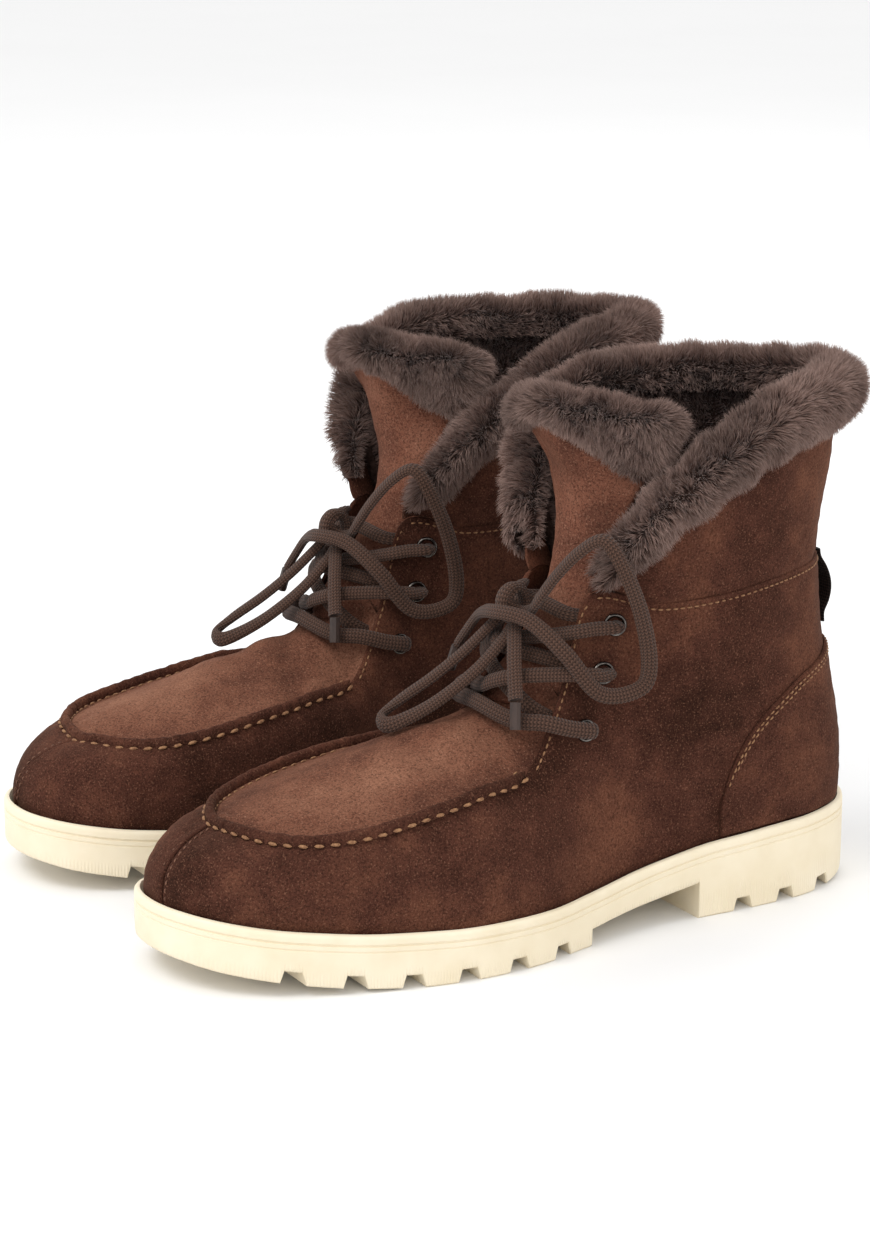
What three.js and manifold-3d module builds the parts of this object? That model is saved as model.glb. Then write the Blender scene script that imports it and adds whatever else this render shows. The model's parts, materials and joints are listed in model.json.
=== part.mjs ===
// A pair of shearling-lined suede lace-up boots with moccasin toes and lugged rubber cup soles.
// Millimetres, +Z up, toes toward -Y. The left boot stands at +X and the right boot at -X. Each boot
// is drawn in its own frame with +X on its outer (lateral) side, and the right boot is mirrored.
import * as THREE from 'three';
import { mergeVertices } from 'three/addons/utils/BufferGeometryUtils.js';
import Module from 'manifold-3d';

const wasm = await Module();
wasm.setup();

// Driving dimensions of one boot.
const STANCE = 150;            // distance between the two boots' centrelines
const CENTRE = [1.5, -3.9];    // shift that centres the pair over its origin
const CLEARANCE = 0.3;         // gap kept between pieces that touch
const LIP_WIDTH = 3.2;         // rubber lip around the upper
const LIP_DEPTH = 3.5;         // how deep the upper sits in the cup sole
const WALL_INSET = 4.3;        // how far the foot of the upper stands in from the sole's outline
const SUEDE = 1.8;             // thickness of the suede
const STIFFENER = 1.0;         // thickness of heel counter and toe puff
const PILE = 5.0;              // thickness of the shearling lining
const BOARD = 2.0;             // thickness of the insole board
const FOOTBED = 6.0;           // thickness of the shearling footbed
const GROOVE_DEPTH = 5.0;      // depth of the tread grooves
const GROOVE_PITCH = 21.8;     // spacing of the forefoot grooves
const HEEL_PITCH = 21.2;       // spacing of the heel grooves
const GROOVE_FOOT = 9.0;       // width of a groove at the ground
const GROOVE_ROOT = 6.0;       // width of a groove at its root
const FIRST_GROOVE = -113.9;   // where the foremost groove lies
const HEEL_FRONT = 65;         // where the heel block starts
const TREAD_END = 11;          // where the forefoot tread ends
const LACE_RADIUS = 2.2;       // radius of the lace
const LACE_SHIFT = 1.6;        // sideways shift of the right boot's lace onto its own eyelets
const EYELET_HOLE = 3.15;      // inner radius of an eyelet
const EYELET_RIM = 4.7;        // outer radius of an eyelet's flange
const EYELET_BARREL = 3.6;     // outer radius of an eyelet's barrel
const EYELET_LIFT = 1.3;       // how far an eyelet's flange lies off the suede
const RIDGE_RADIUS = 2.6;      // radius of the raised apron seam
const RIDGE_LIFT = 1.5;        // how far the raised seam lies off the panels' edges
const TONGUE_THICK = 5.0;      // suede and pile of the tongue
const TONGUE_SPLIT = 0.012;    // half of the gap between the tongue and its flap, as a share of a place
const SEGMENTS = 14;           // stretches between the stations along each side of the foot
const CORNER = 9;              // station of the facing's upper corner
const HEEL_SEAM = 11;          // station where the heel panel starts at the sole
const HEEL_CREST = 0.68;       // share of the wall height that the heel panel covers at the back
const HEEL_SUEDE = 1.2;        // thickness of the heel panel
const OVERLAY_GAP = 0.8;       // gap between the heel panel and the side under it
const LAYER_GAP = 0.6;         // gap between the upper's layers
const LINING_START = 10;       // station where the collar's lining starts
const SEAM_SHARE = 0.012;      // half of a butt seam, as a share of a station
const SEAM_GAP = 0.4;          // gap between the sides and the collar
const COLLAR_SAG = 1.5;        // how far the collar leans forward between seam and rim
const ROLL_SEAT = 1.2;         // gap between a fur roll and the edge under it
const CUFF_DROP = 20;          // how far the fur cuff hangs down outside
const CUFF_THICK = 8;          // thickness of the fur cuff
const CUFF_GAP = 1.9;          // gap between the fur cuff and the collar
const SHANK_WIDTH = 14;        // width of the steel shank
const SHANK_FRONT = -12;       // front end of the shank's pocket
const SHANK_BACK = 92;         // back end of the shank's pocket
const SHANK_POCKET = 1.9;      // depth of the shank's pocket
const TONGUE_MIDDLE = -0.75;   // the tongue's middle, slightly toward the inner side
const LOOP_GAP = 6;            // finger gap behind the pull loop
const LOOP_THICK = 1.6;        // thickness of the pull loop's webbing
const LOOP_WIDTH = 12;         // width of the pull loop
const THROUGH = 200;           // length of a tool that cuts right across

// Plan outline of the sole at the stations, toe to heel.
const OUTLINE = {
  lateral: [[-12, -152], [6, -149], [23, -138], [36, -120], [46, -95], [52.5, -68], [55.5, -42],
    [53, -15], [45, 11], [39, 38], [38, 66], [37.5, 94], [34, 121], [22, 144], [0, 155]],
  medial: [[-12, -152], [-28, -148], [-41, -136], [-50, -116], [-54.5, -91], [-55, -64], [-52, -38],
    [-46, -12], [-41, 13], [-39, 38], [-38.5, 66], [-37.5, 94], [-34, 121], [-22, 144], [0, 155]],
};

// Upper edge of the lower panels at the stations: apron seam, facing edge, then collar seam.
const TOP_EDGE = {
  lateral: [[-11, -122, 55], [7, -120, 56], [21, -113, 55.5], [33, -101, 56], [39, -82, 58],
    [40, -58, 62], [38, -34, 66], [31, -10, 70], [25, 9, 100], [22, 22, 133], [35, 46, 130],
    [38.5, 72, 131], [36, 99, 134], [23, 126, 135.5], [0, 140, 135.5]],
  medial: [[-11, -122, 55], [-22, -118.5, 56], [-34, -110, 56], [-43, -97, 57], [-48, -79, 60],
    [-48, -56, 64], [-44, -33, 67], [-36, -9, 71], [-28, 9, 100], [-24, 22, 133], [-35, 46, 130],
    [-38.5, 72, 131], [-36, 99, 134], [-23, 126, 135.5], [0, 140, 135.5]],
};

// Shape of the side wall at the stations: how far its tangent handles reach at foot and top.
const FOOT_RISE = [18, 17, 17, 16, 16, 18, 18, 20, 28, 35, 35, 35, 32, 30, 30];
const FOOT_BULGE = [3, 3, 3, 3, 3, 3, 2, 1, 0, 1, 3, 4, 6, 6, 6];
const TOP_OUT = [13, 13, 12, 10, 8, 8, 10, 13, 9, 8, 3, 1, 0, 0, 0];
const TOP_DROP = [2, 2, 3, 4, 5, 6, 8, 14, 28, 35, 30, 30, 34, 38, 38];

// Upper edge of the suede collar from the facing corner to the back. The folded flap runs
// diagonally, the upright one climbs at once and flares more.
const RIM = {
  folded: [[27, 23, 142], [40, 43, 168], [47, 70, 189], [43, 99, 201], [27, 132, 205], [0, 150, 205]],
  upright: [[28, 23, 144], [46, 35, 182], [50, 59, 201], [45, 92, 205], [27, 132, 205],
    [0, 150, 205]],
};

// Middle line of the tongue's face as depth and height, and at the same places its half width and
// how far its edges sweep back and sag.
const TONGUE_LINE = [[-8, 91], [3, 107], [13, 119], [21, 134], [25, 156], [24, 176], [20, 190],
  [16, 203]];
const TONGUE_HALF = {
  folded: [17, 19.5, 19, 19, 20, 23, 25.5, 27.5],
  upright: [17, 19.5, 19, 19, 19.5, 22, 24.5, 27],
};
const TONGUE_WRAP = {
  folded: [12, 15, 14, 12, 13, 22, 33, 43],
  upright: [12, 15, 14, 12, 11, 9, 7, 6],
};
const TONGUE_SAG = [0, 0, 0, 0, 0, 2, 5, 8];
const TONGUE_KNEE = 4;         // place in the line where the flap starts

// Rise of the apron's middle over its seams at the stations.
const APRON_CROWN = [1, 3, 5, 7, 9, 12, 15, 19];

// Eyelets, bottom to top, as station and share of the wall height.
const EYELETS = [[8.35, 0.68], [9, 0.73], [9.35, 0.88]];

// Route of the lace on the left boot, from one aglet to the other: tail, bow loop, knot, eyelets
// and crossings down to the bottom bar and up again, knot, second loop and tail.
const LACE_ROUTE = [
  [25, -12, 97], [17, -8, 109], [11, -4.5, 116], [5, -1.5, 120.5],
  [2.5, -4.5, 114.5], [-1, -15, 102.5], [-7.5, -30, 89.8], [-15, -44, 81.8], [-22.5, -44.5, 83],
  [-23, -36, 88.5], [-18, -24, 97.5], [-13, -13, 107.5], [-9, -3, 118], [-6, 5, 126.5],
  [2, 9.5, 129], [17.5, 15, 126], [19, 24.5, 124],
  [23.5, 32.6, 121.5], [27.9, 30.3, 121.9], [33.6, 27.3, 122.5],
  [30, 20, 122], [25.5, 13.5, 120.5], [13, 7.5, 117], [-2, 3.5, 113.5], [-19.5, 8.5, 108.5],
  [-23.5, 18, 105],
  [-23.9, 26.2, 102.8], [-29.5, 25, 103.5], [-35.9, 23.9, 104.2],
  [-35.3, 16.5, 105], [-31, 8, 106], [-16, -1, 105], [1, -6, 101], [19.5, -3, 92], [23.5, 8, 85],
  [25.6, 16, 81.4], [30.5, 15.9, 82.4], [36.9, 15.8, 83.8],
  [35.5, 7, 85.5], [31, -2.5, 88], [20, -11, 88], [0, -16, 91.5], [-22, -11, 88.5],
  [-35, -2, 88.5], [-38.5, 7.5, 85.5],
  [-38.4, 16.1, 83.4], [-32, 15.7, 82.4], [-27, 15.4, 81.7],
  [-24.5, 7.5, 85], [-20.5, -3.5, 92], [-2, -10.8, 96.5], [6, -11, 100], [16, -6, 103.5],
  [29.3, 7.5, 105.5], [34.6, 15.5, 105.4],
  [34.2, 23.8, 104.3], [27.9, 25.2, 103.4], [22.4, 26.6, 102.7],
  [21.6, 18, 105], [17.5, 8.5, 108.5], [-1, -2.5, 111.5], [-10, -0.5, 114], [-17, 5.5, 116.5],
  [-28, 12.5, 120], [-32.5, 19.5, 122],
  [-35.1, 27.7, 122.6], [-29.2, 30.2, 121.9], [-24.6, 32.2, 121.4],
  [-21, 24.5, 124], [-19.5, 15, 126], [-5, 8.5, 133.5], [1, 2.5, 134.5], [2, -3, 130],
  [5, 1, 125.5], [10, 3.5, 127], [16, 3, 132], [24, 6, 143], [33, 10.5, 153.5], [40, 16.5, 159],
  [45, 21, 152], [47.5, 29, 132], [47.5, 33.5, 111], [45, 31, 100.5], [39, 17, 99],
  [31, 6, 114.5], [16.5, -1.5, 125], [1, -8, 126], [-16, -4, 121], [-23, -5, 114],
  [-28.5, -7, 106],
];
const AGLETS = [[[25, -12, 97], [27.5, -13.5, 87]], [[-28.5, -7, 106], [-31.5, -8.5, 96.5]]];

const finishes = {
  suede: { color: '#4f2f22', roughness: 0.95, metalness: 0 },
  apron: { color: '#5f3d2e', roughness: 0.95, metalness: 0 },
  tongue: { color: '#6d493b', roughness: 0.95, metalness: 0 },
  fur: { color: '#5d4f48', roughness: 1, metalness: 0 },
  rubber: { color: '#efe4c4', roughness: 0.6, metalness: 0 },
  lace: { color: '#4d3629', roughness: 0.9, metalness: 0 },
  gunmetal: { color: '#5b5652', roughness: 0.3, metalness: 1 },
  board: { color: '#b39b78', roughness: 0.9, metalness: 0 },
  steel: { color: '#8f9296', roughness: 0.4, metalness: 1 },
  webbing: { color: '#241a17', roughness: 0.9, metalness: 0 },
};
const materials = Object.fromEntries(Object.entries(finishes)
  .map(([name, finish]) => [name, new THREE.MeshStandardMaterial(finish)]));

// Both sides of the foot joined into one ring of stations: toe 0, heel 14, back to the toe at 28.
const joinSides = (lateral, medial) => [...lateral, ...medial.slice(1, -1).reverse()];
const RING = 2 * SEGMENTS;
const outlineRing = joinSides(OUTLINE.lateral, OUTLINE.medial);
const topRing = joinSides(TOP_EDGE.lateral, TOP_EDGE.medial);
const wallRing = FOOT_RISE.map((rise, i) => [rise, FOOT_BULGE[i], TOP_OUT[i], TOP_DROP[i]]);
const handleRing = joinSides(wallRing, wallRing);

// Smooth value between four neighbouring list entries.
function blendFour(a, b, c, d, t) {
  return b.map((value, k) => 0.5 * (2 * value + (c[k] - a[k]) * t
    + (2 * a[k] - 5 * value + 4 * c[k] - d[k]) * t * t
    + (3 * value - a[k] - 3 * c[k] + d[k]) * t * t * t));
}

// Smooth closed curve through a ring's entries.
function around(ring, station) {
  const i = Math.floor(station);
  const at = (k) => ring[((k % ring.length) + ring.length) % ring.length];
  return blendFour(at(i - 1), at(i), at(i + 1), at(i + 2), station - i);
}

// Smooth open curve through a list's entries.
function along(list, station) {
  const i = Math.min(Math.max(Math.floor(station), 0), list.length - 2);
  const at = (k) => list[Math.min(Math.max(k, 0), list.length - 1)];
  return blendFour(at(i - 1), at(i), at(i + 1), at(i + 2), station - i);
}

// Straight-line reading of a list of [position, value] pairs.
function profile(pairs, position) {
  const next = pairs.findIndex(([place]) => place >= position);
  if (next <= 0) return pairs[next === 0 ? 0 : pairs.length - 1][1];
  const [[a, low], [b, high]] = [pairs[next - 1], pairs[next]];
  return low + (high - low) * (position - a) / (b - a);
}

const lipHeight = (y) => profile([[-152, 31], [-120, 26], [-87, 22.5], [-50, 20.5], [0, 20],
  [20, 22], [45, 26], [68, 30], [105, 32.5], [156, 34]], y);
const treadHeight = (y) => profile([[-152, 13], [-139, 9.5], [-114, 5], [-92, 2], [-66, 0],
  [0, 0], [TREAD_END, 1], [HEEL_FRONT, 0], [130, 0], [156, 4]], y);
const waistHeight = (y) => profile([[TREAD_END, 6.5], [44, 11], [HEEL_FRONT, 14.5]], y);

// A point of the sole's plan outline, drawn in by a distance.
function outlinePoint(station, inset, height) {
  const [x, y] = around(outlineRing, station);
  const [ax, ay] = around(outlineRing, station - 0.05);
  const [bx, by] = around(outlineRing, station + 0.05);
  const outward = new THREE.Vector3(by - ay, ax - bx, 0).normalize();
  const point = new THREE.Vector3(x, y, 0).addScaledVector(outward, -inset);
  return { point: point.setZ(height(point.y)), outward };
}

// The outer face of the upper's wall, from the sole (share 0) to its top edge (share 1).
function wallPoint(station, share) {
  const { point: foot, outward } = outlinePoint(station, WALL_INSET,
    (y) => lipHeight(y) - LIP_DEPTH);
  const [rise, bulge, out, drop] = around(handleRing, station);
  const top = new THREE.Vector3(...around(topRing, station));
  const lower = foot.clone().addScaledVector(outward, bulge).add(new THREE.Vector3(0, 0, rise));
  const upper = top.clone().addScaledVector(outward, out).add(new THREE.Vector3(0, 0, -drop));
  return new THREE.CubicBezierCurve3(foot, lower, upper, top).getPoint(share);
}

// The outer face of the collar, from its seam (share 0) to its rim (share 1).
function collarPoint(rims, station, share) {
  const mirrored = rims.medial.slice(0, -1).reverse().map(([x, y, z]) => [-x, y, z]);
  const rim = new THREE.Vector3(...along([...rims.lateral, ...mirrored], station - CORNER));
  const seam = new THREE.Vector3(...around(topRing, station));
  seam.z += SEAM_GAP;
  const middle = seam.clone().lerp(rim, 0.5).add(new THREE.Vector3(0, -COLLAR_SAG, 0));
  return new THREE.QuadraticBezierCurve3(seam, middle, rim).getPoint(share);
}

// The apron's face between the two apron seams: station along the foot, share 0 at the outer side.
function apronPoint(station, share) {
  const outer = new THREE.Vector3(...around(topRing, station));
  const inner = new THREE.Vector3(...around(topRing, RING - station));
  const crown = along(APRON_CROWN.map((height) => [height]), station)[0];
  const rise = crown * (4 * share * (1 - share)) ** 1.7;
  return outer.lerp(inner, share).add(new THREE.Vector3(0, 0, rise));
}

// The tongue's face: across from -1 to 1, up along the places of its middle line.
// The fold's side wraps around the leg further than the other one.
function tonguePoint(foldSide, across, place) {
  const [y, z] = along(TONGUE_LINE, place);
  const edge = across * foldSide > 0 ? 'folded' : 'upright';
  const table = TONGUE_SAG.map((sag, i) => [TONGUE_HALF[edge][i], TONGUE_WRAP[edge][i], sag]);
  const [half, wrap, sag] = along(table, place);
  const sweep = across * across;
  return new THREE.Vector3(TONGUE_MIDDLE + across * half, y + wrap * sweep, z - sag * sweep);
}

// A surface's outward direction, from its two directions of travel.
function outwardAt(surface, a, b) {
  const step = 0.01;
  const alongA = surface(a + step, b).sub(surface(a - step, b));
  const alongB = surface(a, b + step).sub(surface(a, b - step));
  return alongA.cross(alongB).normalize();
}

// A geometry from points and faces, with the faces turned outward.
function closedGeometry(points, faces) {
  let volume = 0;
  for (const [a, b, c] of faces) {
    volume += points[a].clone().cross(points[b]).dot(points[c]);
  }
  const turned = volume < 0 ? faces.map(([a, b, c]) => [a, c, b]) : faces;
  const geometry = new THREE.BufferGeometry().setFromPoints(points);
  geometry.setIndex(turned.flat());
  geometry.computeVertexNormals();
  return geometry;
}

const quad = (a, b, c, d) => [[a, b, c], [a, c, d]];

// A sheet of even thickness under a surface, with its rims closed.
function sheet(surface, columns, rows, outerDepth, innerDepth, ringed = false) {
  const points = [];
  const rowsAt = (column) => (typeof rows === 'function' ? rows(column) : rows);
  for (const depth of [outerDepth, innerDepth]) {
    for (const column of columns) {
      for (const row of rowsAt(column)) {
        const outward = outwardAt(surface, column, row);
        points.push(surface(column, row).addScaledVector(outward, -depth));
      }
    }
  }
  const tall = rowsAt(columns[0]).length;
  const wide = columns.length;
  const at = (side, i, j) => side * wide * tall + (i % wide) * tall + j;
  const faces = [];
  for (let i = 0; i < (ringed ? wide : wide - 1); i += 1) {
    for (let j = 0; j < tall - 1; j += 1) {
      faces.push(...quad(at(0, i, j), at(0, i + 1, j), at(0, i + 1, j + 1), at(0, i, j + 1)));
      faces.push(...quad(at(1, i, j), at(1, i, j + 1), at(1, i + 1, j + 1), at(1, i + 1, j)));
    }
    faces.push(...quad(at(0, i, 0), at(1, i, 0), at(1, i + 1, 0), at(0, i + 1, 0)));
    const j = tall - 1;
    faces.push(...quad(at(0, i, j), at(0, i + 1, j), at(1, i + 1, j), at(1, i, j)));
  }
  for (let j = 0; !ringed && j < tall - 1; j += 1) {
    const i = wide - 1;
    faces.push(...quad(at(0, 0, j), at(0, 0, j + 1), at(1, 0, j + 1), at(1, 0, j)));
    faces.push(...quad(at(0, i, j), at(1, i, j), at(1, i, j + 1), at(0, i, j + 1)));
  }
  return closedGeometry(points, faces);
}

// A solid through a stack of rings, its ends closed by strips across the foot.
function stack(rings) {
  const size = rings[0].length;
  const at = (ring, i) => ring * size + (i % size);
  const faces = [];
  for (let ring = 0; ring < rings.length - 1; ring += 1) {
    for (let i = 0; i < size; i += 1) {
      faces.push(...quad(at(ring, i), at(ring, i + 1), at(ring + 1, i + 1), at(ring + 1, i)));
    }
  }
  const top = rings.length - 1;
  for (let i = 0; i < size / 2; i += 1) {
    const across = [i, i + 1, size - i - 1, size - i];
    for (const [ring, order] of [[0, [0, 3, 2, 1]], [top, [0, 1, 2, 3]]]) {
      const corners = order.map((k) => at(ring, across[k]));
      faces.push(...quad(...corners).filter((face) => new Set(face).size === 3));
    }
  }
  return closedGeometry(rings.flat(), faces);
}

// A solid whose cross-section travels through a list of sections, with flat ends.
function travel(sections, flatSection) {
  const size = flatSection.length;
  const at = (section, i) => section * size + (i % size);
  const faces = [];
  for (let s = 0; s < sections.length - 1; s += 1) {
    for (let i = 0; i < size; i += 1) {
      faces.push(...quad(at(s, i), at(s, i + 1), at(s + 1, i + 1), at(s + 1, i)));
    }
  }
  const flat = flatSection.map(([a, b]) => new THREE.Vector2(a, b));
  const clockwise = THREE.ShapeUtils.isClockWise(flat);
  const last = sections.length - 1;
  for (const [a, b, c] of THREE.ShapeUtils.triangulateShape(flat, [])) {
    const [p, q] = clockwise ? [b, c] : [c, b];
    faces.push([at(0, a), at(0, p), at(0, q)], [at(last, a), at(last, q), at(last, p)]);
  }
  return closedGeometry(sections.flat(), faces);
}

// A bar across the boot whose side profile is given as depth and height.
function crossBar(sideProfile, width, middle = 0) {
  const shape = new THREE.Shape(sideProfile.map(([y, z]) => new THREE.Vector2(y, z)));
  const geometry = new THREE.ExtrudeGeometry(shape, { depth: width, bevelEnabled: false });
  geometry.translate(0, 0, middle - width / 2);
  const turn = new THREE.Matrix4().set(0, 0, 1, 0, 1, 0, 0, 0, 0, 1, 0, 0, 0, 0, 0, 1);
  return geometry.applyMatrix4(turn);
}

function toSolid(geometry) {
  const bare = geometry.clone();
  bare.deleteAttribute('normal');
  bare.deleteAttribute('uv');
  const merged = mergeVertices(bare, 1e-4);
  return new wasm.Manifold(new wasm.Mesh({
    numProp: 3,
    vertProperties: new Float32Array(merged.attributes.position.array),
    triVerts: new Uint32Array(merged.index.array),
  }));
}

function toGeometry(solid) {
  const mesh = solid.getMesh();
  const geometry = new THREE.BufferGeometry();
  geometry.setAttribute('position', new THREE.BufferAttribute(mesh.vertProperties, 3));
  geometry.setIndex(new THREE.BufferAttribute(mesh.triVerts, 1));
  geometry.computeVertexNormals();
  return geometry;
}

function cut(geometry, tools) {
  return toGeometry(tools.reduce((solid, tool) => solid.subtract(toSolid(tool)), toSolid(geometry)));
}

const ringStations = (step) => Array.from({ length: RING / step }, (_, i) => i * step);
const floorHeight = (y) => lipHeight(y) - LIP_DEPTH - CLEARANCE;

// The cream cup sole: lip, side wall, forefoot tread, waist and heel block, with cross grooves.
function makeOutsole() {
  const ring = (inset, height) => ringStations(0.5)
    .map((station) => outlinePoint(station, inset, height).point);
  const body = stack([
    ring(1.6, treadHeight),
    ring(0.5, (y) => treadHeight(y) + 2),
    ring(0, (y) => lipHeight(y) - 8),
    ring(0.6, (y) => lipHeight(y) - 1),
    ring(1.4, lipHeight),
    ring(LIP_WIDTH, lipHeight),
    ring(LIP_WIDTH, floorHeight),
  ]);
  const waist = crossBar([[TREAD_END, -9], [HEEL_FRONT, -9], [HEEL_FRONT, waistHeight(HEEL_FRONT)],
    [44, waistHeight(44)], [TREAD_END, waistHeight(TREAD_END)]], THROUGH);
  const groove = (y) => {
    const ground = treadHeight(y);
    const [foot, root, top] = [GROOVE_FOOT / 2 + 1, GROOVE_ROOT / 2, ground + GROOVE_DEPTH];
    return crossBar([[y - foot, ground - 4], [y + foot, ground - 4], [y + root, top], [y - root, top]],
      THROUGH);
  };
  const forefoot = [0, 1, 2, 3, 4, 5].map((k) => groove(FIRST_GROOVE + k * GROOVE_PITCH));
  const heel = [1, 2, 3].map((k) => groove(HEEL_FRONT + k * HEEL_PITCH));
  const stops = [SHANK_FRONT, 20, 45, 68, SHANK_BACK];
  const pocket = crossBar([...stops.map((y) => [y, floorHeight(y) - SHANK_POCKET]),
    [SHANK_BACK, 40], [SHANK_FRONT, 40]], SHANK_WIDTH + 2 * CLEARANCE);
  return cut(body, [waist, ...forefoot, ...heel, pocket]);
}

// The steel strip that stiffens the waist, in a pocket of the sole.
function makeShank() {
  const stops = [SHANK_FRONT + CLEARANCE, 20, 45, 68, SHANK_BACK - CLEARANCE];
  const under = stops.map((y) => [y, floorHeight(y) - SHANK_POCKET + CLEARANCE]);
  const over = stops.map((y) => [y, floorHeight(y) - CLEARANCE]).reverse();
  return crossBar([...under, ...over], SHANK_WIDTH);
}

const liningOuter = SUEDE + STIFFENER + 2 * LAYER_GAP;
const liningInner = liningOuter + PILE;
const boardInset = WALL_INSET + liningInner + CLEARANCE;

function makeInsoleBoard() {
  const ring = (lift) => ringStations(1)
    .map((station) => outlinePoint(station, boardInset, (y) => floorHeight(y) + lift).point);
  return stack([ring(2 * CLEARANCE), ring(2 * CLEARANCE + BOARD)]);
}

// The shearling footbed, with its edge rounded.
function makeFootbed() {
  const base = 3 * CLEARANCE + BOARD;
  const ring = (inset, lift) => ringStations(1)
    .map((station) => outlinePoint(station, boardInset + inset, (y) => floorHeight(y) + lift).point);
  return stack([ring(0.5, base), ring(0.5, base + FOOTBED - 2), ring(3, base + FOOTBED)]);
}

// Stations round the whole upper, closer together where the wall bends round toe and heel.
const sideStations = [0, 0.5, 1, 1.5, 2, 2.5, 3, 4, 5, 6, 7, 8, 9, 10, 11, 11.5, 12, 12.5, 13, 13.5];
const fullRing = [...sideStations, SEGMENTS,
  ...sideStations.slice(1).reverse().map((station) => RING - station)];
const shares = (from, to, count) => Array.from({ length: count + 1 },
  (_, i) => from + (to - from) * i / count);

// One side of the boot, from the toe seam to the back seam, with the facing and its eyelet holes.
function makeQuarter(first, last, eyeletStations) {
  const inner = fullRing.filter((station) => station > first && station < last);
  const columns = [first + SEAM_SHARE, ...inner, last - SEAM_SHARE];
  const wall = sheet(wallPoint, columns, shares(0.02, 1, 6), 0, SUEDE);
  return cut(wall, eyeletStations.map(eyeletTool));
}

// A cylinder through the facing where an eyelet's barrel goes.
function eyeletTool(place) {
  const radius = EYELET_BARREL + 2 * CLEARANCE;
  return placeAlong(new THREE.CylinderGeometry(radius, radius, 12, 12), place);
}

// Turns a geometry's Y axis along the wall's outward direction and sets it on the wall.
function placeAlong(geometry, [station, share]) {
  const outward = outwardAt(wallPoint, station, share);
  const turn = new THREE.Quaternion().setFromUnitVectors(new THREE.Vector3(0, 1, 0), outward);
  const seat = wallPoint(station, share);
  return geometry.applyQuaternion(turn).translate(seat.x, seat.y, seat.z);
}

// A flanged ring: the flange lies on the suede and the barrel passes through it.
function makeEyelet(place) {
  const foot = -SUEDE - 0.8;
  const section = [[EYELET_HOLE, foot], [EYELET_BARREL, foot], [EYELET_BARREL, EYELET_LIFT],
    [EYELET_RIM, EYELET_LIFT], [EYELET_HOLE, EYELET_LIFT + 1], [EYELET_HOLE, foot]]
    .map(([radius, height]) => new THREE.Vector2(radius, height));
  return placeAlong(new THREE.LatheGeometry(section, 10), place);
}

function makeHeelPanel() {
  const reach = SEGMENTS - HEEL_SEAM + 0.7;
  const columns = shares(HEEL_SEAM - 0.5, 2 * SEGMENTS - HEEL_SEAM + 0.5, 14);
  const rows = (station) => {
    const crest = HEEL_CREST * Math.sqrt(1 - ((SEGMENTS - station) / reach) ** 2);
    return shares(0.07, crest, 3);
  };
  return sheet(wallPoint, columns, rows, -OVERLAY_GAP - HEEL_SUEDE, -OVERLAY_GAP);
}

const makeStiffener = (middle, reach, top) => sheet(wallPoint,
  shares(middle - reach, middle + reach, 4 * reach), shares(0.06, top, 3),
  SUEDE + LAYER_GAP, SUEDE + LAYER_GAP + STIFFENER);
const makeHeelCounter = () => makeStiffener(SEGMENTS, 3, 0.5);
const makeToePuff = () => makeStiffener(0, 2.5, 0.72);

// The lining stops short of the facing's edge, where the eyelets and laces are.
function makeWallLining() {
  const tops = [0.86, 0.86, 0.86, 0.86, 0.86, 0.84, 0.8, 0.6, 0.5, 0.6, 0.94, 0.97, 0.97, 0.97, 0.97];
  const ring = joinSides(tops, tops).map((top) => [top]);
  const rows = (station) => shares(0.07, around(ring, station)[0], 4);
  return sheet(wallPoint, fullRing, rows, liningOuter, liningInner, true);
}

const apronStations = [1.1, 1.5, 2, 3, 4, 5, 6, 6.97];
const makeApron = () => sheet(apronPoint, apronStations, shares(0.02, 0.98, 8), 0, SUEDE);
const makeApronLining = () => sheet(apronPoint, apronStations.slice(1, -1), shares(0.14, 0.86, 6),
  SUEDE + LAYER_GAP, SUEDE + LAYER_GAP + PILE);

const circle = (radius, sides) => shares(0, 2 * Math.PI, sides).slice(0, -1)
  .map((turn) => [radius * Math.cos(turn), radius * Math.sin(turn)]);

// The raised roll where the apron is sewn to the sides, from facing to facing round the toe.
function makeRidge() {
  const side = [0.5, 1, 1.5, 2, 2.5, 3, 4, 5, 6, 6.9];
  const stations = [...side.map((station) => -station).reverse(), 0, ...side];
  const flatSection = circle(1, 6);
  const seamLine = (station) => new THREE.Vector3(...around(topRing, station));
  const sections = stations.map((station) => {
    const ahead = seamLine(station + 0.02).sub(seamLine(station - 0.02)).normalize();
    const aside = new THREE.Vector3().crossVectors(ahead, new THREE.Vector3(0, 0, 1)).normalize();
    const upward = new THREE.Vector3().crossVectors(aside, ahead);
    const middle = seamLine(station).addScaledVector(upward, RIDGE_RADIUS * 0.87 + RIDGE_LIFT);
    return flatSection.map(([a, b]) => middle.clone().addScaledVector(aside, a * RIDGE_RADIUS)
      .addScaledVector(upward, b * RIDGE_RADIUS));
  });
  return travel(sections, flatSection);
}

const collarStations = [CORNER + 0.03, ...shares(CORNER + 0.5, RING - CORNER - 0.5, 18),
  RING - CORNER - 0.03];

function makeCollar(rims) {
  return sheet((station, share) => collarPoint(rims, station, share), collarStations,
    shares(0, 1, 4), 0, SUEDE);
}

function makeCollarLining(rims) {
  const depth = SUEDE + LAYER_GAP;
  const lined = collarStations.filter((station) => Math.abs(station - SEGMENTS)
    <= SEGMENTS - LINING_START);
  return sheet((station, share) => collarPoint(rims, station, share), lined,
    shares(0.08, 1, 4), depth, depth + PILE);
}

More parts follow.
